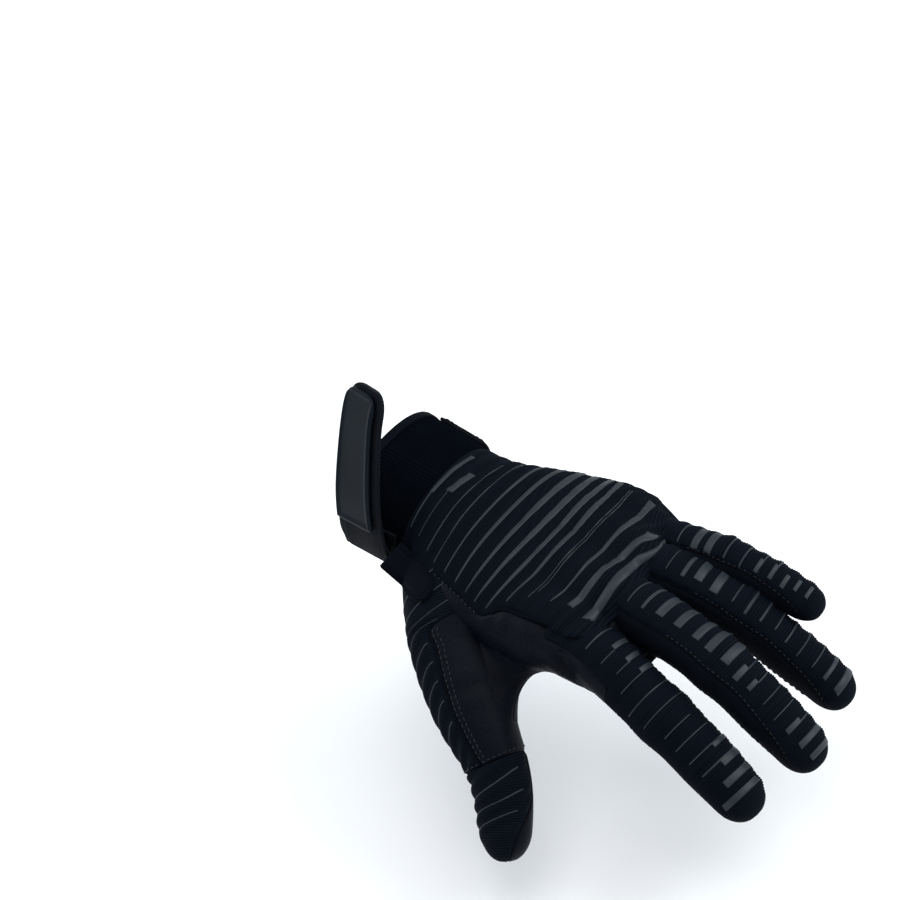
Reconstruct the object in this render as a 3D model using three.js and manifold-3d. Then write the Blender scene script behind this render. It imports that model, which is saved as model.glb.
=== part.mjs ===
// A full-finger left glove with its wrist strap open, as a hollow assembly of sewn panels.
// Millimetres. The origin is the middle of the wrist opening, +X runs to the fingertips,
// +Y to the little-finger side and +Z out of the back of the hand.
import * as THREE from 'three';
import { mergeVertices } from 'three/addons/utils/BufferGeometryUtils.js';
import Module from 'manifold-3d';

const wasm = await Module();
wasm.setup();

// Driving sizes of the hand
const CUFF_TO_KNUCKLES = 125;
const PALM_BREADTH = 88;
const PALM_DEPTH = 34;
const WRIST_BREADTH = 61;
const WRIST_DEPTH = 43;
const KNUCKLE_ARCH = 14;
const INDEX_LENGTH = 99;
const MIDDLE_LENGTH = 106;
const RING_LENGTH = 103;
const LITTLE_LENGTH = 81;
const INDEX_BREADTH = 24.6;
const MIDDLE_BREADTH = 24;
const RING_BREADTH = 21.8;
const LITTLE_BREADTH = 17.4;
const THUMB_LENGTH = 116;
const THUMB_BREADTH = 26;
const WEB_DEPTH = 15;

// Driving sizes of the cloth, the leather and the seams
const WALL = 1.6;
const SEAM_GAP = 0.3;
const CUFF_LENGTH = 32;
const BINDING_WIDTH = 4;
const BINDING_PROUD = 0.8;
const BAND_WIDTH = 25;
const BAND_THICKNESS = 2.2;
const PAD_LENGTH = 21;
const PAD_WIDTH = 11;
const PAD_THICKNESS = 1.8;
const PAD_START = 26;
const PAD_LIFT = 4.5;
const PAD_SLOPE = -35;

// Driving sizes of the closing strap
const STRAP_LENGTH = 84;
const STRAP_WIDTH = 24;
const STRAP_THICKNESS = 2.4;
const STRAP_AT = 18.5;
const TAB_LENGTH = 58;
const TAB_WIDTH = 21;
const TAB_THICKNESS = 1.6;
const TAB_FROM_END = 2;
const TAB_SIDE = -1;
const TAB_CLEARANCE = 0.5;

// Driving sizes of the relief
const PLEAT_PITCH = 5;
const PLEAT_HEIGHT = 1.1;
const PLEAT_COUNT = 4;
const PLEAT_START = 112;
const THUMB_RIB_PITCH = 7.6;
const THUMB_RIB_HEIGHT = 0.7;

// How finely the surfaces are divided
const BODY_SIDES = 24;
const FINGER_SIDES = 12;
const THUMB_SIDES = 10;
const LINING_SIDES = 8;
const LINING_THUMB_STEPS = 7;
const STRAP_STEPS = 9;
const LEAST_STATION_STEP = 0.004;

// How round the sections and the ends are
const BODY_POWER = 0.88;
const DOME_POWER = 2.3;
const LEAST_FULLNESS = 0.04;
const FINGER_DOME = 0.56;
const THUMB_DOME = 0.5;
const ARCH_MIDDLE = -0.18;

// The hand's sections. at is a share of the cuff-to-knuckle length; palm blends from the wrist's
// size (0) to the palm's (1); wide and deep scale that size; side and lift are shares of the palm's
// half breadth and half depth; arch is a share of the knuckle arch.
const HAND_SECTIONS = [
  { at: 0.0, palm: 0.0, wide: 1.0, deep: 1.0, side: 0.0, lift: 0.0, arch: 0.0 },
  { at: 0.16, palm: 0.0, wide: 0.97, deep: 0.97, side: 0.0, lift: 0.0, arch: 0.0 },
  { at: 0.34, palm: 0.0, wide: 0.96, deep: 0.94, side: 0.0, lift: -0.02, arch: 0.0 },
  { at: 0.46, palm: 0.4, wide: 0.97, deep: 0.97, side: -0.01, lift: -0.08, arch: 0.1 },
  { at: 0.6, palm: 0.8, wide: 0.98, deep: 1.06, side: 0.01, lift: -0.16, arch: 0.35 },
  { at: 0.76, palm: 1.0, wide: 0.99, deep: 1.05, side: 0.05, lift: -0.22, arch: 0.7 },
  { at: 0.9, palm: 1.0, wide: 1.01, deep: 0.98, side: 0.09, lift: -0.22, arch: 1.0 },
  { at: 1.0, palm: 1.0, wide: 1.0, deep: 0.92, side: 0.11, lift: -0.23, arch: 1.0 },
  { at: 1.04, palm: 1.0, wide: 0.97, deep: 0.76, side: 0.12, lift: -0.35, arch: 1.0 },
  { at: 1.08, palm: 1.0, wide: 0.93, deep: 0.6, side: 0.12, lift: -0.46, arch: 1.0 },
  { at: 1.13, palm: 1.0, wide: 0.86, deep: 0.4, side: 0.12, lift: -0.54, arch: 1.0 },
  { at: 1.16, palm: 1.0, wide: 0.78, deep: 0.2, side: 0.12, lift: -0.56, arch: 1.0 },
];

// The fingers. along, across and lift place the knuckle as shares of the cuff-to-knuckle length
// and the palm's half breadth and half depth; spread and bends are angles in degrees; joints are
// the shares of the finger's length that its three bones take.
const FINGERS = [
  { name: 'index', along: 0.976, across: -0.59, lift: 0.05, length: INDEX_LENGTH,
    breadth: INDEX_BREADTH, spread: -5.8, bends: [18.6, 8.4, 5.4], joints: [0.45, 0.27, 0.28] },
  { name: 'middle', along: 1.0, across: -0.05, lift: 0.28, length: MIDDLE_LENGTH,
    breadth: MIDDLE_BREADTH, spread: -1.6, bends: [9.4, 22, 5], joints: [0.454, 0.278, 0.268] },
  { name: 'ring', along: 0.944, across: 0.41, lift: 0.2, length: RING_LENGTH,
    breadth: RING_BREADTH, spread: 7.6, bends: [15.8, 16, 6.6], joints: [0.45, 0.275, 0.275] },
  { name: 'little', along: 0.88, across: 0.77, lift: -0.17, length: LITTLE_LENGTH,
    breadth: LITTLE_BREADTH, spread: 7.4, bends: [-4.6, 14.4, 10.5], joints: [0.44, 0.262, 0.298] },
];

// Each finger's thickness along its length: wide and deep are shares of its breadth.
const FINGER_SECTIONS = [
  { at: -0.2, wide: 0.86, deep: 0.84 },
  { at: 0.04, wide: 1.0, deep: 1.0 },
  { at: 0.24, wide: 0.99, deep: 0.98 },
  { at: 0.46, wide: 1.02, deep: 1.03 },
  { at: 0.57, wide: 0.96, deep: 0.96 },
  { at: 0.72, wide: 0.96, deep: 0.95 },
  { at: 0.87, wide: 0.9, deep: 0.86 },
  { at: 0.945, wide: 0.88, deep: 0.83 },
  { at: 0.983, wide: 0.86, deep: 0.81 },
  { at: 0.997, wide: 0.86, deep: 0.81 },
];

// How much of a finger's length its line runs back into the palm, and how far it sinks there.
const ROOT_SHARE = 0.3;
const ROOT_SINK = 0.06;

// The thumb's joints, as shares of the cuff-to-knuckle length and the palm's half breadth and depth,
// and its thickness at each share of its length beyond the wrist.
const THUMB_ROOT = { along: 0.3, across: -0.3, lift: -0.2 };
const THUMB_BASE = { along: 0.4, across: -0.71, lift: -0.45 };
const THUMB_TURNS = [
  { share: 0.41, along: 0.7, across: -0.6, lift: -0.387 },
  { share: 0.29, along: 0.76, across: -0.39, lift: -0.52 },
  { share: 0.3, along: 0.5, across: -0.64, lift: -0.585 },
];
const THUMB_BACK = new THREE.Vector3(-0.66, -0.75, 0.07);
const THUMB_TUBE_ENDS = { ribbedTo: 0.955, domeAt: [0.965, 0.985, 0.997] };
const THUMB_RIBS = { from: 0.24, full: 0.34, until: 0.9, gone: 0.97 };
const THUMB_SECTIONS = [
  { at: 0.0, wide: 0.92, deep: 0.96 },
  { at: 0.12, wide: 1.04, deep: 1.06 },
  { at: 0.28, wide: 1.12, deep: 1.14 },
  { at: 0.42, wide: 1.1, deep: 1.12 },
  { at: 0.55, wide: 1.02, deep: 1.03 },
  { at: 0.66, wide: 0.97, deep: 0.96 },
  { at: 0.76, wide: 0.95, deep: 0.93 },
  { at: 0.88, wide: 0.88, deep: 0.84 },
  { at: 1.0, wide: 0.76, deep: 0.72 },
];

// The seams on the back of the hand: heights of the back panel's two edges, as shares of the palm's
// half depth, at shares of the cuff-to-knuckle length. thumb is the thumb side, outer the other.
const BACK_SEAM = [
  { at: 0.2, thumb: 0.3, outer: 0.1 },
  { at: 0.4, thumb: 0.4, outer: 0.08 },
  { at: 0.55, thumb: 0.36, outer: 0.06 },
  { at: 0.68, thumb: 0.26, outer: 0.05 },
  { at: 0.73, thumb: 0.46, outer: 0.03 },
  { at: 0.82, thumb: 0.48, outer: 0.02 },
  { at: 0.92, thumb: 0.46, outer: 0.0 },
  { at: 1.03, thumb: 0.4, outer: 0.0 },
];

// The seams of the palm: its edges' heights, and how far it reaches to the thumb side.
const PALM_SEAM = [
  { at: 0.2, thumb: -0.5, outer: -0.55, reach: 0.42 },
  { at: 0.5, thumb: -0.6, outer: -0.6, reach: 0.42 },
  { at: 0.8, thumb: -0.8, outer: -0.62, reach: 0.5 },
  { at: 0.95, thumb: -0.9, outer: -0.62, reach: 0.62 },
  { at: 1.08, thumb: -1.0, outer: -0.66, reach: 0.8 },
  { at: 1.24, thumb: -1.1, outer: -0.8, reach: 0.8 },
];

// Seam heights on the fingers, as shares of each one's half breadth: near and far are the back's
// edges on the thumb side and on the other side, palm is the palm's edge, and index is the back's
// edge on the index finger's thumb side.
const FINGER_SEAM = [
  { at: -0.15, near: 0.6, far: 0.2, palm: -0.6, index: 0.45 },
  { at: 0.235, near: 0.74, far: 0.3, palm: -0.52, index: 0.55 },
  { at: 0.255, near: 0.74, far: 0.3, palm: -0.52, index: -0.15 },
  { at: 0.65, near: 0.68, far: 0.28, palm: -0.48, index: -0.12 },
  { at: 0.86, near: 0.36, far: 0.16, palm: -0.4, index: -0.1 },
  { at: 0.975, near: -0.22, far: -0.22, palm: -0.22, index: -0.22 },
  { at: 1.1, near: -0.22, far: -0.22, palm: -0.22, index: -0.22 },
];

// The thumb's seams as shares of its half breadth, measured out to the back of the thumb: near is
// the side that faces the index finger, far the side that faces the palm.
const THUMB_SEAM = [
  { at: 0.0, near: -0.9, far: -0.1 },
  { at: 0.2, near: -0.8, far: 0.0 },
  { at: 0.3, near: -0.3, far: 0.05 },
  { at: 0.36, near: 0.42, far: 0.1 },
  { at: 0.5, near: 0.5, far: 0.12 },
  { at: 0.71, near: 0.5, far: 0.12 },
];
const TIP_SEAM = { at: 0.71, near: -0.9, far: -0.1 };

// Where the leather between thumb and index finger ends, as a share of the cuff-to-knuckle length.
const GUSSET_END = 1.17;

// The side strips' stations, and how far their edges close in to the hand's middle in the palm.
const SIDE_STATIONS = [0.2, 0.5, 0.8, 0.95, 1.05, 1.15, 1.25, 1.35, 1.45, 1.55, 1.65, 1.8, 1.95];
const SIDE_CLOSING = { from: 0.5, until: 0.95, least: 0.4 };

// Heights of the elastic band's two ends, as shares of the wrist's depth.
const BAND_EDGE = { thumb: 0.22, outer: 0.16 };

// Where the leather web between thumb and index finger ends, as shares of the same sizes as above,
// with its half thickness as a share of the web depth. It starts at start along the hand, at
// WEB_START's shares of its edge's place, and faces along WEB_FACING.
const WEB_SECTIONS = [
  { start: 0.42, along: 0.84, across: -1.46, lift: -1.9, thick: 0.62 },
  { start: 0.46, along: 0.82, across: -1.2, lift: -1.45, thick: 0.6 },
  { start: 0.5, along: 0.82, across: -1.0, lift: -1.15, thick: 0.58 },
  { start: 0.52, along: 0.86, across: -0.82, lift: -0.8, thick: 0.6 },
  { start: 0.54, along: 0.93, across: -0.64, lift: -0.45, thick: 0.62 },
];
const WEB_START = { across: 0.55, lift: 0.45 };
const WEB_FACING = new THREE.Vector3(0, -0.62, -0.78);

// The strap's line from its sewn root to its free end: out is measured to the thumb side from the
// wrist's middle, as a share of the half breadth, and up as a share of the strap's length.
const STRAP_LINE = [
  { along: 0.0, out: -1.0, up: 0.0 },
  { along: 0.0, out: -1.02, up: 0.07 },
  { along: -0.02, out: -1.0, up: 0.16 },
  { along: -0.08, out: -0.88, up: 0.33 },
  { along: -0.16, out: -0.64, up: 0.52 },
  { along: -0.25, out: -0.33, up: 0.71 },
  { along: -0.3, out: -0.06, up: 0.83 },
];
const STRAP_ROOT_ACROSS = new THREE.Vector3(1, 0, 0);
const STRAP_END_ACROSS = new THREE.Vector3(0.94, -0.3, 0.15).normalize();

// The strap's rounded end as shares of its width, and its bevel as a share of its thickness.
const STRAP_END = { least: 0.55, roundOver: 0.3, rings: [0.18, 0.05], bevel: 0.3 };

const CLOTH = { color: 0x0d0f13, roughness: 0.92, metalness: 0 };
const LEATHER = { color: 0x121419, roughness: 0.5, metalness: 0 };
const SIDE_CLOTH = { color: 0x0b0c10, roughness: 0.8, metalness: 0 };
const KNIT = { color: 0x111218, roughness: 0.95, metalness: 0 };
const RUBBER = { color: 0x39424f, roughness: 0.45, metalness: 0 };

const HALF_PALM = PALM_BREADTH / 2;
const HALF_DEPTH = PALM_DEPTH / 2;
const FAR = PALM_BREADTH;

// How far the cutters reach past a finger (in millimetres) and above it (in half breadths), and how
// far the thumb's cutters reach (in half breadths)
const ZONE_MARGIN = 1.5;
const ZONE_HEIGHT = 1.6;
const THUMB_REACH = 2.4;

// Smooth reading of a table, by a Catmull-Rom curve through its rows.
function smoothRow(rows, at) {
  const last = rows.length - 1;
  let i = 0;
  while (i < last - 1 && rows[i + 1].at < at) i += 1;
  const span = rows[i + 1].at - rows[i].at;
  const t = Math.min(1, Math.max(0, (at - rows[i].at) / span));
  const before = rows[Math.max(0, i - 1)];
  const after = rows[Math.min(last, i + 2)];
  const row = {};
  for (const key of Object.keys(rows[i])) {
    const a = rows[i][key];
    const b = rows[i + 1][key];
    const slopeA = ((b - before[key]) * span) / (rows[i + 1].at - before.at);
    const slopeB = ((after[key] - a) * span) / (after.at - rows[i].at);
    const t2 = t * t;
    const t3 = t2 * t;
    row[key] = (2 * t3 - 3 * t2 + 1) * a + (t3 - 2 * t2 + t) * slopeA
      + (3 * t2 - 2 * t3) * b + (t3 - t2) * slopeB;
  }
  return row;
}

// Closed surface through rings of equal point counts, with a flat fan on each end.
function loft(rings) {
  const sides = rings[0].length;
  const points = rings.flat();
  const faces = [];
  for (let r = 0; r + 1 < rings.length; r += 1) {
    for (let s = 0; s < sides; s += 1) {
      const a = r * sides + s;
      const b = r * sides + ((s + 1) % sides);
      faces.push(a, b, b + sides, a, b + sides, a + sides);
    }
  }
  const caps = [[0, true], [rings.length - 1, false]];
  for (const [r, first] of caps) {
    const middle = new THREE.Vector3();
    for (const point of rings[r]) middle.addScaledVector(point, 1 / sides);
    points.push(middle);
    const hub = points.length - 1;
    for (let s = 0; s < sides; s += 1) {
      const a = r * sides + s;
      const b = r * sides + ((s + 1) % sides);
      if (first) faces.push(hub, b, a);
      else faces.push(hub, a, b);
    }
  }
  const geometry = new THREE.BufferGeometry();
  const flat = points.flatMap((point) => point.toArray());
  geometry.setAttribute('position', new THREE.Float32BufferAttribute(flat, 3));
  geometry.setIndex(faces);
  return solidOf(geometry);
}

// A closed geometry as a solid for joining and cutting. A shape that comes inside out is turned.
function solidOf(geometry) {
  const clean = geometry.clone();
  clean.deleteAttribute('normal');
  clean.deleteAttribute('uv');
  const merged = mergeVertices(clean, 1e-4);
  const build = (triVerts) => new wasm.Manifold(new wasm.Mesh({
    numProp: 3,
    vertProperties: new Float32Array(merged.attributes.position.array),
    triVerts,
  }));
  const solid = build(new Uint32Array(merged.index.array));
  if (solid.volume() >= 0) return solid;
  const turned = new Uint32Array(merged.index.array).reverse();
  return build(turned);
}

function joined(solids) {
  return solids.reduce((whole, next) => whole.add(next));
}

// The largest connected body of a cut solid, so that no crumb is left beside a panel.
function mainBody(solid) {
  const bodies = solid.decompose();
  return bodies.reduce((best, next) => (next.volume() > best.volume() ? next : best));
}

function meshOf(name, solid, look) {
  const body = mainBody(solid).getMesh();
  const geometry = new THREE.BufferGeometry();
  geometry.setAttribute('position', new THREE.BufferAttribute(new Float32Array(body.vertProperties), 3));
  geometry.setIndex(new THREE.BufferAttribute(new Uint32Array(body.triVerts), 1));
  geometry.computeVertexNormals();
  const mesh = new THREE.Mesh(geometry, new THREE.MeshStandardMaterial(look));
  mesh.name = name;
  return mesh;
}

// Point on the hand from shares of its sizes.
function handPoint(row) {
  return new THREE.Vector3(
    row.along * CUFF_TO_KNUCKLES,
    row.across * HALF_PALM,
    row.lift * HALF_DEPTH,
  );
}

// The hand from wrist to webs. outset moves its skin outwards, and the pleats stand on its back.
function handBody(outset, pleated) {
  const ends = { first: HAND_SECTIONS[0].at, last: HAND_SECTIONS[HAND_SECTIONS.length - 1].at };
  const sides = outset < 0 ? 2 * LINING_SIDES : BODY_SIDES;
  const stations = HAND_SECTIONS.map((row) => row.at);
  if (pleated) {
    for (let i = 0; i <= 2 * PLEAT_COUNT; i += 1) {
      stations.push((PLEAT_START + (i * PLEAT_PITCH) / 2) / CUFF_TO_KNUCKLES);
    }
    stations.sort((a, b) => a - b);
  }
  const kept = stations.filter((at, i) => i === 0 || at - stations[i - 1] > LEAST_STATION_STEP);
  const rings = kept.map((at) => {
    const row = smoothRow(HAND_SECTIONS, at);
    const halfWide = 0.5 * row.wide * (WRIST_BREADTH + row.palm * (PALM_BREADTH - WRIST_BREADTH)) + outset;
    const halfDeep = 0.5 * row.deep * (WRIST_DEPTH + row.palm * (PALM_DEPTH - WRIST_DEPTH)) + outset;
    const x = at === ends.last ? at * CUFF_TO_KNUCKLES + outset : at * CUFF_TO_KNUCKLES;
    const startX = at === ends.first && outset !== 0 ? x - WALL : x;
    const wave = (x - PLEAT_START) / PLEAT_PITCH;
    const inPleats = pleated && wave > 0 && wave < PLEAT_COUNT;
    const pleat = inPleats ? PLEAT_HEIGHT * Math.sin(Math.PI * wave) ** 2 : 0;
    const ring = [];
    for (let s = 0; s < sides; s += 1) {
      const turn = (2 * Math.PI * s) / sides;
      const c = Math.cos(turn);
      const d = Math.sin(turn);
      const y = row.side * HALF_PALM + halfWide * Math.sign(c) * Math.abs(c) ** BODY_POWER;
      const lifted = halfDeep + pleat * Math.max(0, d);
      const z = row.lift * HALF_DEPTH + lifted * Math.sign(d) * Math.abs(d) ** BODY_POWER;
      const reach = y / HALF_PALM - ARCH_MIDDLE;
      ring.push(new THREE.Vector3(startX - row.arch * KNUCKLE_ARCH * reach * reach, y, z));
    }
    return ring;
  });
  return loft(rings);
}

// Frames along a smooth line through points: the middle, the way on, the back and the side.
function framesAlong(points, back) {
  const curve = new THREE.CatmullRomCurve3(points, false, 'centripetal');
  const length = curve.getLength();
  return {
    length,
    at(share) {
      const inside = Math.min(1, Math.max(0, share));
      const middle = curve.getPointAt(inside);
      const on = curve.getTangentAt(inside);
      middle.addScaledVector(on, (share - inside) * length);
      const side = new THREE.Vector3().crossVectors(on, back).normalize();
      const up = new THREE.Vector3().crossVectors(side, on).normalize();
      return { middle, on, side, up };
    },
  };
}

// The line of one finger: it starts inside the palm and turns down by the bends at its joints.
function fingerLine(finger) {
  const knuckle = handPoint(finger);
  const spread = THREE.MathUtils.degToRad(finger.spread);
  const rootLength = ROOT_SHARE * finger.length;
  const root = knuckle.clone().add(new THREE.Vector3(-rootLength, 0, -ROOT_SINK * rootLength));
  const points = [root, knuckle];
  let bend = 0;
  finger.joints.forEach((share, i) => {
    bend += THREE.MathUtils.degToRad(finger.bends[i]);
    const way = new THREE.Vector3(
      Math.cos(spread) * Math.cos(bend),
      Math.sin(spread) * Math.cos(bend),
      -Math.sin(bend),
    );
    points.push(points[points.length - 1].clone().addScaledVector(way, share * finger.length));
  });
  return framesAlong(points, new THREE.Vector3(0, 0, 1));
}

// A finger's share, from its knuckle (0) to its tip (1), as a share of its whole line.
function lineShare(share) {
  return (share + ROOT_SHARE) / (1 + ROOT_SHARE);
}

// How full a round end is at a distance from its tip.
function domeFullness(fromTip, domeLength) {
  if (fromTip >= domeLength) return 1;
  const t = 1 - Math.max(0, fromTip) / domeLength;
  return (1 - t ** DOME_POWER) ** (1 / DOME_POWER);
}

// One finger's tube, drawn in by inset on all sides and at the tip.
function fingerTube(finger, inset) {
  const line = fingerLine(finger);
  const dome = FINGER_DOME * finger.breadth - inset;
  const rings = FINGER_SECTIONS.map((row) => {
    const share = lineShare(row.at) * (1 - inset / line.length);
    const frame = line.at(share);
    const fromTip = line.length * (1 - share) - inset;
    const full = Math.max(LEAST_FULLNESS, domeFullness(fromTip, dome));
    const wide = (0.5 * row.wide * finger.breadth - inset) * full;
    const deep = (0.5 * row.deep * finger.breadth - inset) * full;
    return ringAround(frame, wide, deep, inset > 0 ? LINING_SIDES : FINGER_SIDES);
  });
  return loft(rings);
}

function ringAround(frame, wide, deep, sides) {
  const ring = [];
  for (let s = 0; s < sides; s += 1) {
    const turn = (2 * Math.PI * s) / sides;
    ring.push(frame.middle.clone()
      .addScaledVector(frame.side, wide * Math.cos(turn))
      .addScaledVector(frame.up, deep * Math.sin(turn)));
  }
  return ring;
}

// The thumb's line, from inside the hand out through its three bones.
function thumbLine() {
  const points = [handPoint(THUMB_ROOT), handPoint(THUMB_BASE)];
  for (const turn of THUMB_TURNS) {
    const way = new THREE.Vector3(turn.along, turn.across, turn.lift).normalize();
    points.push(points[points.length - 1].clone().addScaledVector(way, turn.share * THUMB_LENGTH));
  }
  return framesAlong(points, THUMB_BACK);
}

// The thumb's tube. Its ribs are shallow waves on its back.
function thumbTube(inset) {
  const ribbed = inset <= 0;
  const line = thumbLine();
  const dome = THUMB_DOME * THUMB_BREADTH - inset;
  const steps = ribbed ? 2 * Math.round(line.length / THUMB_RIB_PITCH) : LINING_THUMB_STEPS;
  const shares = [];
  for (let i = 0; i <= steps; i += 1) shares.push(i / steps);
  const all = [...shares.filter((share) => share < THUMB_TUBE_ENDS.ribbedTo), ...THUMB_TUBE_ENDS.domeAt];
  const rings = all.map((at) => {
    const share = at * (1 - inset / line.length);
    const frame = line.at(share);
    const row = smoothRow(THUMB_SECTIONS, at);
    const full = Math.max(LEAST_FULLNESS, domeFullness(line.length * (1 - share) - inset, dome));
    const rise = THREE.MathUtils.smoothstep(at, THUMB_RIBS.from, THUMB_RIBS.full);
    const fade = 1 - THREE.MathUtils.smoothstep(at, THUMB_RIBS.until, THUMB_RIBS.gone);
    const wave = ribbed ? Math.sin(0.5 * Math.PI * share * steps) ** 2 : 0;
    const rib = THUMB_RIB_HEIGHT * wave * rise * fade;
    const wide = (0.5 * row.wide * THUMB_BREADTH - inset) * full;
    const deep = (0.5 * row.deep * THUMB_BREADTH - inset) * full;
    return ringAround(frame, wide, deep, ribbed ? THUMB_SIDES : LINING_SIDES).map((point) => {
      const outward = point.clone().sub(frame.middle).normalize();
      return point.addScaledVector(outward, rib * Math.max(0, outward.dot(frame.up)));
    });
  });
  return loft(rings);
}

// The web between thumb and index finger: flat ovals that each run from the wrist to its free edge.
function webBody(inset) {
  const rings = WEB_SECTIONS.map((row) => {
    const edge = handPoint(row);
    const start = handPoint({
      along: row.start,
      across: WEB_START.across * row.across,
      lift: WEB_START.lift * row.lift,
    });
    const along = edge.clone().sub(start);
    const half = 0.5 * along.length() - inset;
    const middle = start.clone().add(edge).multiplyScalar(0.5);
    const on = along.normalize();
    const normal = new THREE.Vector3().crossVectors(WEB_FACING, on).normalize();
    const thick = row.thick * WEB_DEPTH - inset;
    const ring = [];
    for (let s = 0; s < FINGER_SIDES; s += 1) {
      const turn = (2 * Math.PI * s) / FINGER_SIDES;
      ring.push(middle.clone().addScaledVector(on, half * Math.cos(turn))
        .addScaledVector(normal, thick * Math.sin(turn)));
    }
    return ring;
  });
  return loft(rings);
}

// A cutter that runs along X: each row is a shape of [y, z] corners.
function cutterAlongX(rows, grow, corners) {
  const last = rows.length - 1;
  return loft(rows.map((row, i) => {
    const ends = i === 0 ? -grow : (i === last ? grow : 0);
    return corners(row).map(([y, z]) => new THREE.Vector3(row.at * CUFF_TO_KNUCKLES + ends, y, z));
  }));
}

// Everything above the back panel's edges on the hand.
function backZone(grow) {
  return cutterAlongX(BACK_SEAM, grow, (row) => [
    [-FAR, row.thumb * HALF_DEPTH - grow],
    [0, 0.5 * (row.thumb + row.outer) * HALF_DEPTH - grow],
    [FAR, row.outer * HALF_DEPTH - grow],
    [FAR, FAR],
    [-FAR, FAR],
  ]);
}

// Everything below the palm panel's edges on the hand.
function palmZone(grow) {
  return cutterAlongX(PALM_SEAM, grow, (row) => [
    [-row.reach * HALF_PALM - grow, -FAR],
    [FAR, -FAR],
    [FAR, row.outer * HALF_DEPTH + grow],
    [0, row.outer * HALF_DEPTH + grow],
    [-row.reach * HALF_PALM - grow, row.thumb * HALF_DEPTH + grow],
  ]);
}

// The part of a finger above (or below) its seams, as a cutter along its line.
function fingerZone(finger, which, grow) {
  const line = fingerLine(finger);
  const half = 0.5 * finger.breadth;
  const reach = half + ZONE_MARGIN + grow;
  const sign = which === 'back' ? 1 : -1;
  const top = sign * (ZONE_HEIGHT * half + grow);
  const last = FINGER_SEAM.length - 1;
  return loft(FINGER_SEAM.map((row, i) => {
    const ends = i === 0 ? -grow : (i === last ? grow : 0);
    const frame = line.at(lineShare(row.at) + ends / line.length);
    const nearColumn = finger.name === 'index' ? row.index : row.near;
    const near = which === 'back' ? nearColumn * half - grow : row.palm * half + grow;
    const far = which === 'back' ? row.far * half - grow : row.palm * half + grow;
    const corner = (side, up) => frame.middle.clone()
      .addScaledVector(frame.side, side)
      .addScaledVector(frame.up, up);
    return [corner(reach, near), corner(-reach, far), corner(-reach, top), corner(reach, top)];
  }));
}

// A block between two fingers, or outside an outer one, that runs past the fingertips. On the palm
// its edge closes in to the hand's middle line, so that the side strips reach back to the cuff.
function sideZone(lower, upper) {
  const edge = (finger, at) => {
    const line = fingerLine(finger);
    const x = at * CUFF_TO_KNUCKLES;
    const inPalm = THREE.MathUtils.smoothstep(at, SIDE_CLOSING.from, SIDE_CLOSING.until);
    let y = line.at(0).middle.y;
    for (let share = 0; share <= 1.4; share += 0.02) {
      const { middle } = line.at(share);
      if (middle.x <= x) y = middle.y;
    }
    return y * THREE.MathUtils.lerp(SIDE_CLOSING.least, 1, inPalm);
  };
  return loft(SIDE_STATIONS.map((at) => {
    const x = at * CUFF_TO_KNUCKLES;
    const low = lower === undefined ? -2 * FAR : edge(lower, at) + 0.5 * SEAM_GAP;
    const high = upper === undefined ? 2 * FAR : edge(upper, at) - 0.5 * SEAM_GAP;
    return [[low, -2 * FAR], [high, -2 * FAR], [high, 2 * FAR], [low, 2 * FAR]]
      .map(([y, z]) => new THREE.Vector3(x, y, z));
  }));
}

// The back of the thumb as a cutter along its line, from the cuff to the seam at its last joint.
function thumbBackZone(grow) {
  const line = thumbLine();
  const half = 0.5 * THUMB_BREADTH;
  const reach = THUMB_REACH * half;
  return loft(THUMB_SEAM.map((row) => {
    const frame = line.at(row.at);
    const corner = (side, up) => frame.middle.clone()
      .addScaledVector(frame.side, side)
      .addScaledVector(frame.up, up);
    return [
      corner(reach, row.far * half - grow),
      corner(0, Math.min(row.far, row.near) * half - grow),
      corner(-reach, row.near * half - grow),
      corner(-reach, reach),
      corner(reach, reach),
    ];
  }));
}

// The thumb past the seam at its last joint: all of it, or only its back.
function thumbTipZone(grow, backOnly) {
  const line = thumbLine();
  const half = 0.5 * THUMB_BREADTH;
  const reach = THUMB_REACH * half;
  const near = backOnly ? TIP_SEAM.near * half - grow : -reach;
  const far = backOnly ? TIP_SEAM.far * half - grow : -reach;
  return loft([TIP_SEAM.at - grow / line.length, 1 + reach / line.length].map((at) => {
    const frame = line.at(at);
    const corner = (side, up) => frame.middle.clone()
      .addScaledVector(frame.side, side)
      .addScaledVector(frame.up, up);
    return [corner(reach, far), corner(-reach, near), corner(-reach, reach), corner(reach, reach)];
  }));
}

function slab(from, to) {
  return loft([from, to].map((x) => [
    new THREE.Vector3(x, -2 * FAR, -2 * FAR),
    new THREE.Vector3(x, 2 * FAR, -2 * FAR),
    new THREE.Vector3(x, 2 * FAR, 2 * FAR),
    new THREE.Vector3(x, -2 * FAR, 2 * FAR),
  ]));
}

// The strap's frame at a share of its line: it lies along the wrist at its root and turns to its end.
function strapFrame(curve, share) {
  const middle = curve.getPointAt(share);
  const on = curve.getTangentAt(share);
  const wanted = STRAP_ROOT_ACROSS.clone().lerp(STRAP_END_ACROSS, share);
  const normal = new THREE.Vector3().crossVectors(on, wanted).normalize();
  const across = new THREE.Vector3().crossVectors(normal, on).normalize();
  return { middle, across, normal };
}

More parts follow.
